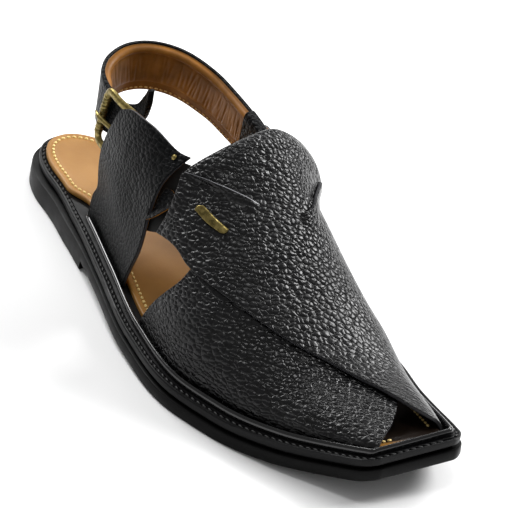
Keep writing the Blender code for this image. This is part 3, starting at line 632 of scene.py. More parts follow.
def seam(inset, height, pitch, slant=0.0, stations=(0, 1), **insets):
    """Places, directions and up vectors of stitches along the outline at an inset."""
    path = round_path(inset, 6, **insets)
    line = np.column_stack([path, height(path[:, 0])])
    points, ahead = resample(line, pitch)
    inside = (points[:, 0] > stations[0] * WELT_LENGTH) & (points[:, 0] < stations[1] * WELT_LENGTH)
    side = np.cross(ahead, (0, 0, 1))
    ahead = ahead + slant * side
    ups = np.tile((0.0, 0.0, 1.0), (len(points), 1))
    return points[inside], ahead[inside], ups[inside]


# Materials

def linear(code):
    """A colour as Blender's nodes want it, from its hex code."""
    parts = [int(code[i:i + 2], 16) / 255 for i in (1, 3, 5)]
    return tuple(p / 12.92 if p <= 0.04045 else ((p + 0.055) / 1.055) ** 2.4 for p in parts) + (1.0,)


def plug(tree, node, inputs):
    """Fills a node's inputs, each from a value or a link."""
    for socket, value in inputs.items():
        if isinstance(value, bpy.types.NodeSocket):
            tree.links.new(value, node.inputs[socket])
        else:
            node.inputs[socket].default_value = value


def add(tree, kind, inputs=None, stops=(), out=0, **settings):
    """Adds a node with its settings and inputs, and gives one of its outputs. A colour ramp also has
    stops, each a position with a hex code or a grey value."""
    node = tree.nodes.new("ShaderNode" + kind)
    for name, value in settings.items():
        setattr(node, name, value)
    plug(tree, node, inputs or {})
    if stops:
        points = node.color_ramp.elements
        while len(points) < len(stops):
            points.new(0.5)
        for point, (place, tone) in zip(points, stops):
            point.position = place
            point.color = linear(tone) if isinstance(tone, str) else (tone, tone, tone, 1)
    return node.outputs[out]


def surface(name):
    """A named material, with its tree and its shader."""
    finish = bpy.data.materials.new(name)
    finish.use_nodes = True
    return finish, finish.node_tree, finish.node_tree.nodes["Principled BSDF"]


def pebbled_leather(name, pebble, depth, top, crease_shade, gloss, mirror, stretched=False):
    """Drum-dyed cow leather with an embossed pebble grain: domed grains, longer across the photograph
    than up it, with dark creases between them and fine wrinkles on them. A stretched one grows
    smoother towards the toe."""
    finish, tree, shader = surface(name)
    place = add(tree, "TexCoord", out="Object")
    warp = add(tree, "TexNoise", {"Vector": place, "Scale": 0.45 / pebble, "Detail": 2}, out="Color")
    bent = add(tree, "VectorMath", {0: warp, 1: (0.5, 0.5, 0.5)}, operation="SUBTRACT")
    bent = add(tree, "VectorMath", {0: bent, 3: 0.9 * pebble}, operation="SCALE")
    moved = add(tree, "VectorMath", {0: place, 1: bent}, operation="ADD")
    placed = add(
        tree, "Mapping", {"Vector": moved, "Rotation": (0, 0, CAMERA_AZIMUTH), "Scale": (1.5, 1, 1)},
        vector_type="TEXTURE",
    )
    grain = {"Vector": placed, "Scale": 1 / pebble, "Randomness": 0.85}
    cells = add(tree, "TexVoronoi", grain, feature="F1")
    edges = add(tree, "TexVoronoi", grain, feature="DISTANCE_TO_EDGE")
    domes = ((0.0, 1.0), (0.3, 0.9), (0.55, 0.62), (0.8, 0.2), (1.0, 0.0))
    dome = add(tree, "ValToRGB", {"Fac": cells}, domes)
    groove = add(tree, "ValToRGB", {"Fac": edges}, ((0.0, 0.0), (0.1, 0.6), (0.28, 1.0)))
    wrinkle = add(tree, "TexNoise", {"Vector": placed, "Scale": 1.5 / pebble, "Detail": 1})
    height = add(tree, "Math", {0: groove, 1: 0.3, 2: dome}, operation="MULTIPLY_ADD")
    height = add(tree, "Math", {0: wrinkle, 1: 0.4, 2: height}, operation="MULTIPLY_ADD")
    strength = 1.0
    if stretched:
        along = add(tree, "SeparateXYZ", {0: place})
        strength = add(tree, "MapRange", {0: along, 1: CALM_START, 2: CALM_END, 3: 1.0, 4: 0.5})
    patchy = add(tree, "TexNoise", {"Vector": place, "Scale": 70, "Detail": 3})
    plug(tree, shader, {
        # Base colour: grain tops, with the creases painted darker as shade
        "Base Color": add(tree, "ValToRGB", {"Fac": edges}, ((0.0, crease_shade), (0.2, top))),
        "Roughness": add(tree, "ValToRGB", {"Fac": patchy}, ((0.3, gloss[0]), (0.7, gloss[1]))),
        "Normal": add(tree, "Bump", {"Height": height, "Strength": strength, "Distance": depth}),
        "Specular IOR Level": mirror,
    })
    return finish


def glazed_leather(name, light, dark, scale, rough, painted_shade=False):
    """Vegetable-tanned leather, glazed to a soft shine, darker where it was handled and folded. One
    with painted shade is dark along the stretch that lies under the straps."""
    finish, tree, shader = surface(name)
    place = add(tree, "TexCoord", out="Object")
    clouds = {"Vector": place, "Scale": scale, "Detail": 5, "Roughness": 0.6}
    cloud = add(tree, "TexNoise", clouds)
    tone = add(tree, "ValToRGB", {"Fac": cloud}, ((0.32, dark), (0.68, light)))
    pores = add(tree, "TexVoronoi", {"Vector": place, "Scale": 1 / (0.7 * MM)}, feature="F1")
    fine = add(tree, "TexNoise", {"Vector": place, "Scale": 900, "Detail": 3})
    height = add(tree, "Math", {0: pores, 1: 0.5, 2: fine}, operation="MULTIPLY_ADD")
    if painted_shade:
        # Painted shade: dark brown under the straps, clearing again at the toe
        along = add(tree, "SeparateXYZ", {0: place})
        slant = {0: place, 1: (1, -0.5, 0)}
        slanted = add(tree, "VectorMath", slant, operation="DOT_PRODUCT", out="Value")
        begun = add(tree, "MapRange", {0: along, 1: PAINTED_SHADE_START[0], 2: PAINTED_SHADE_START[1], 3: 0.0, 4: 1.0})
        clear = add(tree, "MapRange", {0: slanted, 1: PAINTED_SHADE_END[0], 2: PAINTED_SHADE_END[1], 3: 1.0, 4: 0.0})
        share = add(tree, "Math", {0: begun, 1: clear}, operation="MULTIPLY")
        tone = add(
            tree, "Mix", {"Factor": share, "A": tone, "B": linear("#140C06")}, data_type="RGBA", out="Result",
        )
    gloss = ((0.3, rough + 0.12), (0.7, rough))
    plug(tree, shader, {
        "Base Color": tone,
        "Roughness": add(tree, "ValToRGB", {"Fac": cloud}, gloss),
        "Normal": add(tree, "Bump", {"Height": height, "Strength": 0.35, "Distance": 0.08 * MM}),
        "Specular IOR Level": 0.25,
        "Coat Weight": 0.08,
        "Coat Roughness": 0.25,
    })
    return finish


def dyed_edge(name, tone, rough, coat, grain, mirror=0.2):
    """Black finished leather or moulded rubber, with the faint unevenness that a wide highlight shows."""
    finish, tree, shader = surface(name)
    place = add(tree, "TexCoord", out="Object")
    cloud = add(tree, "TexNoise", {"Vector": place, "Scale": 140, "Detail": 4})
    fine = add(tree, "TexNoise", {"Vector": place, "Scale": 1 / grain, "Detail": 3})
    gloss = ((0.3, rough + 0.08), (0.7, rough - 0.06))
    plug(tree, shader, {
        "Base Color": linear(tone),
        "Roughness": add(tree, "ValToRGB", {"Fac": cloud}, gloss),
        "Normal": add(tree, "Bump", {"Height": fine, "Strength": 0.3, "Distance": 0.06 * MM}),
        "Specular IOR Level": mirror,
        "Coat Weight": coat,
        "Coat Roughness": 0.12,
    })
    return finish


def antique_brass(name):
    """Cast brass, browned and polished back in patches: dull olive in some, brighter and smoother in others.
    """
    finish, tree, shader = surface(name)
    place = add(tree, "TexCoord", out="Object")
    clouds = {"Vector": place, "Scale": 420, "Detail": 5, "Roughness": 0.65}
    cloud = add(tree, "TexNoise", clouds)
    tones = ((0.3, "#3F3820"), (0.52, "#7D6F42"), (0.75, "#B5A36A"))
    scratch = add(tree, "TexNoise", {"Vector": place, "Scale": 1600, "Detail": 2})
    plug(tree, shader, {
        "Base Color": add(tree, "ValToRGB", {"Fac": cloud}, tones),
        "Roughness": add(tree, "ValToRGB", {"Fac": cloud}, ((0.3, 0.5), (0.7, 0.26))),
        "Normal": add(tree, "Bump", {"Height": scratch, "Strength": 0.25, "Distance": 0.05 * MM}),
        "Metallic": 1,
    })
    return finish


def waxed_thread(name, light, dark, rough):
    """Twisted and waxed thread: a soft shine, with the valleys between its strands painted darker as shade.
    """
    finish, tree, shader = surface(name)
    place = add(tree, "TexCoord", out="Object")
    strands = add(tree, "TexNoise", {"Vector": place, "Scale": 1500, "Detail": 2})
    plug(tree, shader, {
        "Base Color": add(tree, "ValToRGB", {"Fac": strands}, ((0.35, dark), (0.6, light))),
        "Roughness": rough,
        "Normal": add(tree, "Bump", {"Height": strands, "Strength": 0.5, "Distance": 0.15 * MM}),
    })
    return finish


def matt_paper(name, tone, rough):
    """The studio's white paper, which takes soft shadows and throws no glare."""
    finish, tree, shader = surface(name)
    plug(tree, shader, {"Base Color": linear(tone), "Roughness": rough, "Specular IOR Level": 0.1})
    return finish


# Sole

def outsole_top(x):
    """The outsole's top face, where the groove begins."""
    return welt_top(x) - WELT_THICKNESS - GROOVE_DEPTH


def outsole(rubber):
    """Moulded outsole with its low heel: softened bottom edge, flared side, drawn-in top edge."""
    def underside(x):
        return np.where(x < HEEL_BREAST, 0.0, np.maximum(outsole_top(x) - OUTSOLE_THICKNESS, 0.0))

    def flare(x):
        return -HEEL_FLARE + (HEEL_FLARE - OUTSOLE_FLARE) * ease(x, 0.3 * HEEL_BREAST, 1.3 * HEEL_BREAST)

    def row(extra):
        return {
            "inset": -HEEL_FLARE + extra, "side_inset": lambda x: flare(x) + extra,
            "toe_inset": -OUTSOLE_FLARE + extra,
        }

    def at(share, rise=0.0):
        return lambda x: underside(x) + share * (outsole_top(x) - underside(x)) + rise

    soft = 0.9 * MM
    profile = (
        (row(soft), at(0)), (row(0.25 * soft), at(0, 0.3 * soft)), (row(0), at(0, soft)),
        (row(0.1 * MM), at(0.5)), (row(0.3 * MM), at(1, -0.8 * soft)),
        (row(0.3 * MM + 0.3 * soft), at(1, -0.25 * soft)), (row(0.3 * MM + soft), at(1)),
    )
    return slab("outsole_moulded", profile, rubber, ["outsole"])


def midsole(rubber):
    """The set-in layer that makes the dark groove keeps its solid's own mesh."""
    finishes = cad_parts["midsole"].data.materials
    finishes.clear()
    finishes.append(rubber)


def welt(edge):
    """Welt with a burnished top edge and the sunk channel that holds its stitches."""
    def row(inset):
        return {"inset": inset}

    def under(rise):
        return lambda x: welt_top(x) - WELT_THICKNESS + rise

    def over(drop):
        return lambda x: welt_top(x) - drop

    profile = (
        (row(0.5 * MM), under(0)), (row(0.1 * MM), under(0.25 * MM)), (row(0), under(0.7 * MM)),
        (row(0), over(0.9 * MM)), (row(0.12 * MM), over(0.35 * MM)), (row(0.5 * MM), over(0.05 * MM)),
        (row(0.9 * MM), over(0.0)), (row(1.15 * MM), over(0.12 * MM)), (row(1.4 * MM), over(0.6 * MM)),
        (row(2.7 * MM), over(0.6 * MM)), (row(2.85 * MM), over(0.15 * MM)), (row(3.0 * MM), over(0.02 * MM)),
        (row(6 * MM), over(0.0)),
    )
    return slab("welt_channelled", profile, edge, ["welt"])


def insole_edge(x):
    """Insole inset: a narrow margin at the heel, inside the upper further forward."""
    inside = FEATHER + FEATHER_ROOM
    return HEEL_MARGIN + (inside - HEEL_MARGIN) * ease(x, RAND_START - 22 * MM, RAND_START - 4 * MM)


def insole_row(extra):
    """Insets of the insole's edge, moved in by an extra."""
    return {
        "inset": HEEL_MARGIN + extra, "side_inset": lambda x: insole_edge(x) + extra,
        "toe_inset": RAND_MARGIN + RAND_WIDTH + GAP + extra,
    }


def insole(tan):
    """Glazed insole with a softly rolled edge."""
    def over(drop):
        return lambda x: welt_top(x) + INSOLE_THICKNESS - drop

    profile = (
        (insole_row(0.1 * MM), lambda x: welt_top(x) + GAP), (insole_row(0), over(1.4 * MM)),
        (insole_row(0.1 * MM), over(0.5 * MM)), (insole_row(0.4 * MM), over(0.12 * MM)),
        (insole_row(0.9 * MM), over(0)), (insole_row(2.5 * MM), over(0.05 * MM)),
        (insole_row(3.4 * MM), over(0.35 * MM)), (insole_row(4.4 * MM), over(0.05 * MM)),
        (insole_row(6 * MM), over(0)),
    )
    return slab("insole_glazed", profile, tan, ["insole"])


def rand(bead):
    """Glossy bead round the foot of the upper, its two heel ends tapered into the welt."""
    outer = round_path(RAND_MARGIN, FRONT_COLUMNS, start=RAND_START)
    inner = round_path(RAND_MARGIN + RAND_WIDTH - GAP, FRONT_COLUMNS, start=RAND_START)
    turns = np.linspace(0.001, pi - 0.001, 12)
    run, rest = distances(np.column_stack([outer, 0 * outer[:, 0]])[:, None], 0)
    size = np.sqrt(np.clip(np.minimum(run, rest)[:, 0] / (5 * MM), 0.02, 1))

    middle = ((outer + inner) / 2)[:, None]
    across = ((inner - outer) / 2 * (0.4 + 0.6 * size[:, None]))[:, None]
    plan = middle - across * np.cos(turns)[None, :, None]
    height = welt_top(outer[:, :1]) + 0.05 * MM + RAND_HEIGHT * size[:, None] * np.sin(turns)[None] ** 0.75
    bm = bmesh.new()
    sweep(bm, np.concatenate([plan, height[..., None]], axis=-1))
    return finish_piece("rand_bead", bm, [bead], ["rand"], sharp=radians(60))


# Upper

def under_strap(leather, lining, edge):
    """Lateral vamp strap, foot at the rand, lying on the last, with one broad soft dent."""
    def shape(at):
        dent = VAMP_DENT * np.sin(pi * ease(at.station, 0.60, 0.92)) * ease(-at.girth, 0.2, 0.9)
        return -dent, LEATHER - dent

    return wall(
        "vamp_strap_lateral", UNDER_STRAP, 230, 90, shape, [leather, lining, edge], ["upper"],
    )


def joined(girth):
    """1 where the medial strap runs on into the saddle, between the two slits, and 0 at the wings."""
    return ease(girth, -0.24, -0.13) * (1 - ease(girth, -0.03, 0.08))


def over_strap(leather, lining, edge, painted_highlight):
    """Medial vamp strap over the lateral one. Its two wings lie on the saddle, and between them its
    rear edge dips into it, so that both read as one leather."""
    def shape(at):
        across = ease(at.girth, 0.35, 0.95)
        rise = WING_RISE + WING_CORNER * ease(-at.girth, 0.20, 0.42)
        wing = rise * (1 - ease(at.rear, 0, WING_RUN)) * (1 - joined(at.girth))
        wing = wing * (1 - ease(-at.girth, 0.45, 0.62))
        dip = SEAM_DIP * joined(at.girth) * (1 - ease(at.rear, 0, SEAM_RUN))
        inner = (LEATHER + LAP + TOE_LIFT * ease(at.station, 0.74, 0.92)) * (1 - across) + wing - dip
        return inner, inner + LEATHER

    # Pale band along the lateral slit that paints its thin bright line as a highlight
    def slit(at):
        band = (at.rear > SLIT_HIGHLIGHT[0]) & (at.rear < SLIT_HIGHLIGHT[1])
        return band & (at.girth > -0.42) & (at.girth < -0.15)

    return wall(
        "vamp_strap_medial", OVER_STRAP, 230, 190, shape, [leather, lining, edge, painted_highlight],
        ["upper"], painted_highlight=slit,
    )


def saddle(leather, lining):
    """Padded tongue saddle, rolled at the top, its sides and front under the medial strap."""
    def shape(at):
        level = LEATHER + WING_RISE - LAP + (LEATHER - WING_RISE + 2 * LAP) * joined(at.girth)
        covered = ease(at.low, 1 * MM, 8 * MM) * ease(at.high, 1 * MM, 9 * MM)
        covered = covered * ease(at.front, 1 * MM, 6 * MM)
        outer = SADDLE_EDGE + (level - SADDLE_EDGE) * covered
        roll = TOP_ROLL * np.sqrt(np.clip(1 - (at.rear / TOP_ROLL_RUN) ** 2, 0, 1))
        outer = outer + np.maximum(roll - outer, 0) * (1 - ease(at.rear, *TOP_ROLL_FADE))
        return LAP + 0 * outer, outer

    piece = wall(
        "tongue_saddle", SADDLE, 120, 130, shape, [leather, lining, leather], ["upper"],
        rounding=2.8 * MM, cut=0.12,
    )
    return piece


def saddle_flank_shade(leather):
    """Dark side of the saddle, seen in the gap between the quarter and the wing; its matt black also stands
    in for the deep shade in that gap.
    """
    def shape(at):
        inner = -FLANK_SINK + 0 * at.station
        return inner, inner + FLANK_LEATHER

    return wall("saddle_flank_shade", FLANK, 50, 60, shape, [leather], ["upper"])


def quarter(name, edges, lift, cover, fade, finishes, node):
    """A quarter from the sole edge to the ankle, lifted at its front corner and over the buckle."""
    def shape(at):
        ahead = at.rear / (at.rear + at.front)
        side = np.abs(at.girth)
        corner = ease(ahead, 0.45, 0.95) * (1 - ease(side, 0.5, 0.85))
        back = (1 - ease(ahead, *fade)) * (1 - ease(side, 0.78, 0.97))
        inner = lift * corner + cover * back
        return inner, inner + LEATHER

    return wall(name, edges, 110, 120, shape, finishes, [node])


def inner_tab(leather, lining, edge):
    """Small tan-lined tab in the gap behind the wing, its free corner curled outwards."""
    def shape(at):
        inner = TAB_REST + TAB_CURL * (1 - ease(at.low, 0, TAB_CURL_RUN))
        return inner, inner + TAB_LEATHER

    return wall(
        "wing_tab", INNER_TAB, 40, 40, shape, [leather, lining, edge], ["inner_tab"],
    )


# Heel strap

def strap_frames():
    """Middle points, width and outward directions, widths and run along the heel strap."""
    scale = {"x": WELT_LENGTH, "y": BALL_WIDTH, "z": INSTEP_HEIGHT}
    knots = np.stack([column(STRAP, STRAP_COLUMNS, axis) * size for axis, size in scale.items()], axis=-1)
    rows = np.column_stack([knots, column(STRAP, STRAP_COLUMNS, "width")])
    lengths = np.concatenate([[0], np.cumsum(np.linalg.norm(np.diff(knots, axis=0), axis=1))])
    share = np.linspace(0, lengths[-1], STRAP_STEPS)
    line = through(rows, lengths, share)
    tangents = np.gradient(line[:, :3], axis=0)
    tangents /= np.linalg.norm(tangents, axis=1, keepdims=True)
    up = np.array([0, 0, 1]) - tangents * tangents[:, 2:3]
    up /= np.linalg.norm(up, axis=1, keepdims=True)
    return line[:, :3], up, np.cross(tangents, up), line[:, 3] * STRAP_WIDTH, share


def lining_folds(run, across):
    """Upright folds of the padded lining: soft troughs at uneven distances, none quite the same."""
    rng = np.random.default_rng(7)
    depth = np.zeros(np.broadcast(run, across).shape)
    place = WRAP + 2 * MM
    while place < LINING_END - 4 * MM:
        width = rng.uniform(*FOLD_WIDTHS)
        lean = rng.uniform(*FOLD_LEANS)
        reach = rng.uniform(*FOLD_REACHES)
        middle = rng.uniform(*FOLD_MIDDLES)
        trough = np.exp(-((run - place - lean * across) / width) ** 2)
        span = np.exp(-((across - middle) / reach) ** 4)
        depth += rng.uniform(*FOLD_DEPTHS) * trough * span
        place += rng.uniform(*FOLD_GAPS)
    return depth


def padding_depth(from_top, from_low, folds):
    """Thickness of the padded lining over the strap's height: a roll at the top, a field with folds,
    and a thin hem."""
    roll = ROLL_DEPTH * np.sqrt(np.clip(1 - ((from_top - 0.5 * ROLL) / (0.5 * ROLL)) ** 2, 0, 1))
    below = np.clip((from_top - 0.6 * ROLL) / (0.8 * ROLL), 0, 1)
    above = np.clip((from_low - FLANGE) / (3 * MM), 0, 1)
    field = (0.62 * LINING_PAD - folds) * np.sqrt(1 - (1 - below) ** 2) * np.sqrt(1 - (1 - above) ** 2)
    return np.maximum(np.maximum(roll, field), 0.45 * MM)


def heel_strap(leather, lining):
    """Padded strap round the heel: a black outer layer that stands above its tan padded lining, and
    the thin pointed tail behind the buckle."""
    middles, ups, outs, widths, run = strap_frames()
    half = 0.5 * widths[:, None]
    outer_share = np.array([-1.0, -1.0, -0.97, -0.9, -0.6, 0.0, 0.6, 0.9, 0.97, 1.0, 1.0, 1.0])
    outer_depth = np.array([-0.3, 0.6, 0.9, 1.0, 1.0, 1.0, 1.0, 1.0, 0.9, 0.6, 0.2, -0.3]) * OUTER_LEATHER
    down = spread(56)[None]
    top = half - 0.9 * MM * np.minimum(1, half / (6 * MM))
    bottom = -half + 0.25 * MM * np.minimum(1, half / (6 * MM))
    lining_height = top + (bottom - top) * down
    padded = (1 - ease(run, LINING_END - 9 * MM, LINING_END))[:, None]
    folds = lining_folds(run[:, None], lining_height / (2 * half))
    depth = padding_depth(top - lining_height, lining_height - bottom, folds)
    depth = 0.5 * OUTER_LEATHER + (depth - 0.5 * OUTER_LEATHER) * padded
    ends = np.minimum(1, np.minimum(down, 1 - down) / 0.01)
    heights = np.concatenate([outer_share[None] * half, lining_height], axis=1)
    depths = np.concatenate([outer_depth[None] + 0 * half, -0.3 * OUTER_LEATHER - depth * ends], axis=1)
    rings = middles[:, None] + ups[:, None] * heights[..., None] + outs[:, None] * depths[..., None]
    bm = bmesh.new()
    for face, row, col in sweep(bm, rings):
        if col > len(outer_share) and run[int(row)] < LINING_END - 2 * MM:
            face.material_index = 1
    piece = finish_piece(
        "heel_strap_lined", bm, [leather, lining], ["heel_strap"], merge=0.000001, sharp=radians(75),
    )
    return piece


def strap_wrap(leather):
    """Black leather folded over the sewn medial end of the heel strap."""
    middles, ups, outs, widths, run = strap_frames()
    lined = run < WRAP
    turns = np.linspace(0, 2 * pi, 40, endpoint=False)
    high = np.sign(np.cos(turns)) * np.abs(np.cos(turns)) ** 0.4 * 0.5
    deep = np.sign(np.sin(turns)) * np.abs(np.sin(turns)) ** 0.4
    heights = widths[lined, None] * high[None] + 0.9 * MM * np.sign(high)[None]
    depths = -1.0 * MM + WRAP_DEPTH * deep[None] + 0 * heights
    rings = ups[lined, None] * heights[..., None] + outs[lined, None] * depths[..., None]
    bm = bmesh.new()
    sweep(bm, middles[lined, None] + rings)
    return finish_piece("heel_strap_wrap", bm, [leather], sharp=radians(75))


def strap_seam():
    """Places of the stitches in the hem of the lining, along its lower edge."""
    middles, ups, outs, widths, run = strap_frames()
    lined = (run > WRAP) & (run < LINING_END - 8 * MM)
    line = middles - ups * (0.5 * widths - 1.7 * MM)[:, None] - outs * 1.0 * MM
    points, ahead = resample(line[lined], STRAP_PITCH)
    nearest = [int(np.argmin(np.linalg.norm(middles - point, axis=1))) for point in points]
    return points, ahead, -outs[nearest]


# Buckle and fittings

BUCKLE_X = 0.220 * WELT_LENGTH
BUCKLE_Z = 0.745 * INSTEP_HEIGHT
BUCKLE_Y = -0.1715 * BALL_WIDTH - 0.5 * STRAP_THICKNESS - GAP - 0.5 * BAR_DIAMETER
FAR_BAR_Y = BUCKLE_Y + FAR_BAR_DROP
FAR_BAR_X = BUCKLE_X + BUCKLE_LENGTH


def lean(points):
    """Turns points of the buckle about the middle of its ribbed bar, top towards the toe."""
    points = np.array(points, float)
    x = points[..., 0] - BUCKLE_X
    z = points[..., 2] - BUCKLE_Z
    c, s = np.cos(BUCKLE_LEAN), np.sin(BUCKLE_LEAN)
    return np.stack([BUCKLE_X + c * x + s * z, points[..., 1], BUCKLE_Z - s * x + c * z], axis=-1)


def bar_rings(path, wide, deep, sides=20):
    """Oval rings round a path that lies nearly in the buckle's plane."""
    ahead = np.gradient(path, axis=0)
    ahead /= np.linalg.norm(ahead, axis=1, keepdims=True)
    turns = np.linspace(0, 2 * pi, sides, endpoint=False)
    rings = []
    for point, tangent, across, depth in zip(path, ahead, wide, deep):
        face = np.array([0, 1.0, 0]) - tangent * tangent[1]
        face /= np.linalg.norm(face)
        side = np.cross(tangent, face)
        rings.append([point + across * np.cos(a) * side + depth * np.sin(a) * face for a in turns])
    return np.array(rings)


def buckle_frame(brass):
    """Cast frame: flattened side bars, and a round ribbed end bar that grips the strap."""
    turns = np.linspace(0, 2 * pi, 4000) + pi
    along = 0.5 * BUCKLE_LENGTH * np.sign(np.cos(turns)) * np.abs(np.cos(turns)) ** 0.3
    height = 0.5 * BUCKLE_HEIGHT * np.sign(np.sin(turns)) * np.abs(np.sin(turns)) ** 0.3
    share = along / BUCKLE_LENGTH + 0.5
    y = BUCKLE_Y + FAR_BAR_DROP * share - BUCKLE_ARCH * np.sin(pi * share)
    path = np.stack([FAR_BAR_X - 0.5 * BUCKLE_LENGTH + along, y, BUCKLE_Z + height], axis=-1)
    path = resample(path, 0.25 * MM)[0]
    share = (path[:, 0] - BUCKLE_X) / BUCKLE_LENGTH
    ribbed = (1 - ease(share, 0.02, 0.07)) * (1 - ease(np.abs(path[:, 2] - BUCKLE_Z), 11 * MM, 12.5 * MM))
    ribs = np.abs(np.cos(pi * (path[:, 2] - BUCKLE_Z) / (2.1 * MM))) ** 0.6
    radius = 0.5 * BAR_DIAMETER
    wide = radius * (1.22 + ribbed * (0.02 - 0.34 * (1 - ribs)))
    deep = radius * (0.86 + ribbed * (0.32 - 0.30 * (1 - ribs)))
    bm = bmesh.new()
    sweep(bm, lean(bar_rings(path, wide, deep)))
    return finish_piece("buckle_ribbed", bm, [brass], ["buckle_frame"], sharp=radians(60))


def buckle_prong(brass):
    """Prong bent from round wire, its eye round the far bar and its tip over the ribbed one."""
    eye = 0.5 * BAR_DIAMETER + GAP + 0.5 * PRONG_DIAMETER
    turns = np.linspace(0.15, 2 * pi - 0.15, 36) + pi
    ring = np.array([(FAR_BAR_X + eye * np.cos(a), FAR_BAR_Y + eye * np.sin(a), BUCKLE_Z) for a in turns])
    rest = BUCKLE_Y - 0.5 * (BAR_DIAMETER + PRONG_DIAMETER) - GAP
    knots = np.array([
        (FAR_BAR_X - 0.9 * eye, FAR_BAR_Y - 0.45 * eye, BUCKLE_Z),
        (FAR_BAR_X - 0.5 * BUCKLE_LENGTH, 0.5 * (FAR_BAR_Y - eye + rest), BUCKLE_Z),
        (BUCKLE_X + 0.2 * BUCKLE_LENGTH, rest, BUCKLE_Z),
        (BUCKLE_X, rest, BUCKLE_Z),
        (BUCKLE_X - 0.7 * BAR_DIAMETER, rest + 0.3 * PRONG_DIAMETER, BUCKLE_Z),
    ])
    lengths = np.concatenate([[0], np.cumsum(np.linalg.norm(np.diff(knots, axis=0), axis=1))])
    shank = through(knots, lengths, np.linspace(0, lengths[-1], 60))
    bm = bmesh.new()
    for path, tip in ((ring, 1.0), (shank, 0.45)):
        share = np.linspace(0, 1, len(path))
        size = 0.5 * PRONG_DIAMETER * (1 - (1 - tip) * ease(share, 0.8, 1.0))
        ahead = np.gradient(path, axis=0)
        ahead /= np.linalg.norm(ahead, axis=1, keepdims=True)
        side = np.cross(ahead, (0, 0, 1.0))[:, None]
        angles = np.linspace(0, 2 * pi, 14, endpoint=False)[:, None]
        rings = path[:, None] + size[:, None, None] * (np.cos(angles) * side + np.sin(angles) * (0, 0, 1.0))
        sweep(bm, lean(rings))
    return finish_piece("buckle_prong_bent", bm, [brass], ["buckle_prong"], sharp=radians(60))


def chape(leather):
    """Leather loop round the far bar, slotted for the prong, its ends under the lateral quarter."""
    radius = 0.5 * BAR_DIAMETER + GAP + 0.5 * CHAPE_LEATHER
    turns = np.linspace(0.5 * pi, 1.5 * pi, 24)
    bend = [(FAR_BAR_X + radius * np.cos(a), FAR_BAR_Y + radius * np.sin(a)) for a in turns]
    front = [(FAR_BAR_X + run, FAR_BAR_Y - radius) for run in np.linspace(1 * MM, CHAPE_LENGTH, 12)]
    path = np.array(bend + front)
    heights = np.linspace(-0.5, 0.5, 30) * CHAPE_WIDTH
    places = np.zeros((len(path), len(heights), 3))
    places[..., 0] = path[:, None, 0]
    places[..., 1] = path[:, None, 1]
    places[..., 2] = BUCKLE_Z + heights[None]
    bm = bmesh.new()
    lay_grid(bm, lean(places))
    slot = 0.5 * PRONG_DIAMETER + GAP
    middle = lean((FAR_BAR_X, FAR_BAR_Y, BUCKLE_Z)) + ORIGIN
    cut = []
    for face in bm.faces:
        centre = np.array(face.calc_center_median()) - middle
        if abs(centre[2]) < slot and centre[0] < 2.2 * MM:
            cut.append(face)
    bmesh.ops.delete(bm, geom=cut, context="FACES")
    bmesh.ops.solidify(bm, geom=bm.faces[:], thickness=CHAPE_LEATHER)
    piece = finish_piece("chape_loop", bm, [leather], ["chape"])
    soften = piece.modifiers.new("soft edges", "BEVEL")
    soften.width = 0.35 * MM
    soften.segments = 2
    soften.limit_method = "ANGLE"
    return piece


def quarter_rivet(brass):
    """A domed brass stud with a turned rim, standing at the lateral quarter's corner."""
    station, girth = np.array(QUARTER_RIVET[0]), np.array(QUARTER_RIVET[1])
    place = last_point(station, girth, np.array(CORNER_LIFT + LEATHER))
    radius = 0.5 * RIVET_DIAMETER
    bm = bmesh.new()
    profile = (
        (0.0, 0.0), (1.0, 0.0), (1.0, 0.16), (0.93, 0.24), (0.80, 0.2), (0.62, 0.34), (0.34, 0.46),
        (0.0, 0.5),
    )
    verts = [bm.verts.new((across, 0, up)) for across, up in profile]
    edges = [bm.edges.new(pair) for pair in zip(verts, verts[1:])]
    bmesh.ops.spin(
        bm, geom=verts + edges, cent=(0, 0, 0), axis=(0, 0, 1), angle=2 * pi, steps=28, use_merge=True,
    )
    matrix = basis(place, (1, 0, 0), last_normal(station, girth), (radius, radius, radius))
    bmesh.ops.transform(bm, matrix=matrix, verts=bm.verts)
    return finish_piece("quarter_rivet", bm, [brass], ["rivet"], sharp=radians(50))


def vamp_bar(brass):
    """Plain brass bar on the wing, softly rounded like a pressed plate."""
    def shape(at):
        base = 2 * LEATHER + LAP + 0 * at.station
        return base, base + PLATE_THICKNESS

    return wall("wing_bar", BRASS_BAR, 70, 30, shape, [brass], ["vamp_bar"], 0.8 * MM, 0.3)


# Studio

def soft_box(name, place, size, power):
    """A white soft box that faces the shoe."""
    light = bpy.data.lights.new(name, "AREA")
    light.shape = "RECTANGLE"
    light.size, light.size_y = size
    light.energy = power
    lamp = bpy.data.objects.new(name, light)
    lamp.location = place
    lamp.rotation_euler = (Vector(place) - Vector(LIGHT_TARGET)).to_track_quat("Z", "Y").to_euler()
    bpy.context.scene.collection.objects.link(lamp)


def studio():
    """White paper floor, an even pale surround and the soft boxes."""
    bm = bmesh.new()
    bmesh.ops.create_grid(bm, x_segments=1, y_segments=1, size=3)
    mesh = bpy.data.meshes.new("floor")
    bm.to_mesh(mesh)
    bm.free()
    mesh.materials.append(matt_paper("matt white paper", "#F4F4F4", 0.9))
    floor = bpy.data.objects.new("floor", mesh)
    bpy.context.scene.collection.objects.link(floor)
    world = bpy.data.worlds.new("studio")
    bpy.context.scene.world = world
    world.use_nodes = True
    background = world.node_tree.nodes["Background"]
    background.inputs["Color"].default_value = linear("#FFFFFF")
    background.inputs["Strength"].default_value = SURROUND
    for light in LIGHTS:
        soft_box(*light)
    bpy.context.scene.view_settings.view_transform = "Standard"


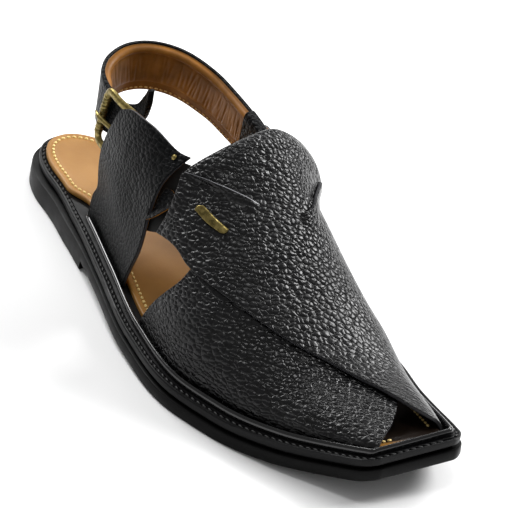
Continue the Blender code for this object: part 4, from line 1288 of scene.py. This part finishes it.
def sole(tan):
    """Outsole, midsole, welt, insole and rand."""
    # Moulded rubber with a weak wide sheen, and welt leather a little shinier than it
    rubber = dyed_edge("moulded black rubber", "#080808", 0.4, 0.0, 0.5 * MM, 0.09)
    edge = dyed_edge("black dyed welt leather", "#070708", 0.34, 0.0, 0.9 * MM, 0.14)
    # Polished bead, which shows a narrow bright line
    bead = dyed_edge("polished black rand", "#070708", 0.2, 0.8, 1.4 * MM)
    outsole(rubber)
    midsole(rubber)
    welt(edge)
    insole(tan)
    rand(bead)


def upper(lining, brass):
    """Vamp straps, saddle, quarters and tab, and the heel strap with its buckle and fittings."""
    # Coarse pebbled leather with sharp glints, calmer where the medial strap is drawn over the toe
    vamp, drawn = (
        pebbled_leather(name, 2.2 * MM, 0.44 * MM, "#0A0A0C", "#010101", (0.22, 0.32), 0.3, stretched)
        for name, stretched in (("coarse pebbled vamp leather", False), ("drawn vamp leather", True))
    )
    # Finer, duller grain of the quarters and the heel strap
    fine = pebbled_leather(
        "fine pebbled quarter leather", 1.9 * MM, 0.34 * MM, "#0C0D0E", "#020203", (0.32, 0.44), 0.09,
    )
    # Cut edges a little greyer than the leather, and a pale one that paints the slit's thin bright line as a
    # highlight
    cut_edge = dyed_edge("inked cut edge", "#343437", 0.4, 0.0, 0.4 * MM, 0.5)
    painted_highlight = dyed_edge("rubbed slit edge", "#7C7C80", 0.35, 0.0, 0.4 * MM, 0.5)
    # Matt black inner side, which keeps the toe opening dark
    inner = dyed_edge("matt black vamp lining", "#050505", 0.65, 0.0, 0.5 * MM)
    under_strap(vamp, inner, cut_edge)
    over_strap(drawn, inner, cut_edge, painted_highlight)
    saddle(vamp, lining)
    # Dark flank, whose matt black also stands in for the deep shade in the gap
    saddle_flank_shade(inner)
    finishes = [fine, lining, cut_edge]
    quarter(
        "quarter_buckle_side", LATERAL_QUARTER, CORNER_LIFT, BUCKLE_COVER, (0.35, 0.95), finishes,
        "quarter_lateral",
    )
    quarter(
        "quarter_inner_side", MEDIAL_QUARTER, CORNER_LIFT, STRAP_COVER, (0.20, 0.75), finishes,
        "quarter_medial",
    )
    inner_tab(fine, lining, lining)
    heel_strap(fine, lining)
    strap_wrap(fine)
    chape(fine)
    buckle_frame(brass)
    buckle_prong(brass)
    vamp_bar(brass)
    quarter_rivet(brass)


def seams():
    """Stitches of the welt, of the insole and of the strap's lining, each in its own thread."""
    black = waxed_thread("black waxed thread", "#0C0C0D", "#030303", 0.55)
    cream = waxed_thread("cream waxed thread", "#F0D890", "#C09A50", 0.5)
    amber = waxed_thread("amber thread", "#DDB468", "#A87A3A", 0.55)
    channel = seam(WELT_SEAM_INSET, lambda x: welt_top(x) - 0.45 * MM, WELT_PITCH, slant=0.35)
    stitches("welt_stitches", [channel], 0.92 * WELT_PITCH, WELT_THREAD, 0.55 * MM, black)
    border = seam(
        height=lambda x: welt_top(x) + INSOLE_THICKNESS - 0.2 * MM, pitch=INSOLE_PITCH, slant=0.12,
        stations=(0, INSOLE_SEAM_END), **insole_row(INSOLE_SEAM_INSET),
    )
    stitches("insole_stitches", [border], 0.76 * INSOLE_PITCH, INSOLE_THREAD, 0.65 * MM, cream)
    stitches("strap_stitches", [strap_seam()], 0.7 * STRAP_PITCH, STRAP_THREAD, 0.35 * MM, amber)


def main():
    set_camera()
    # The insole's leather carries painted shade under the straps
    sole(glazed_leather("tan glazed insole leather", "#976B2F", "#835A22", 26, 0.4, painted_shade=True))
    lining = glazed_leather("tan strap lining leather", "#94601F", "#6A420D", 70, 0.48)
    upper(lining, antique_brass("antique brass"))
    seams()
    studio()


main()
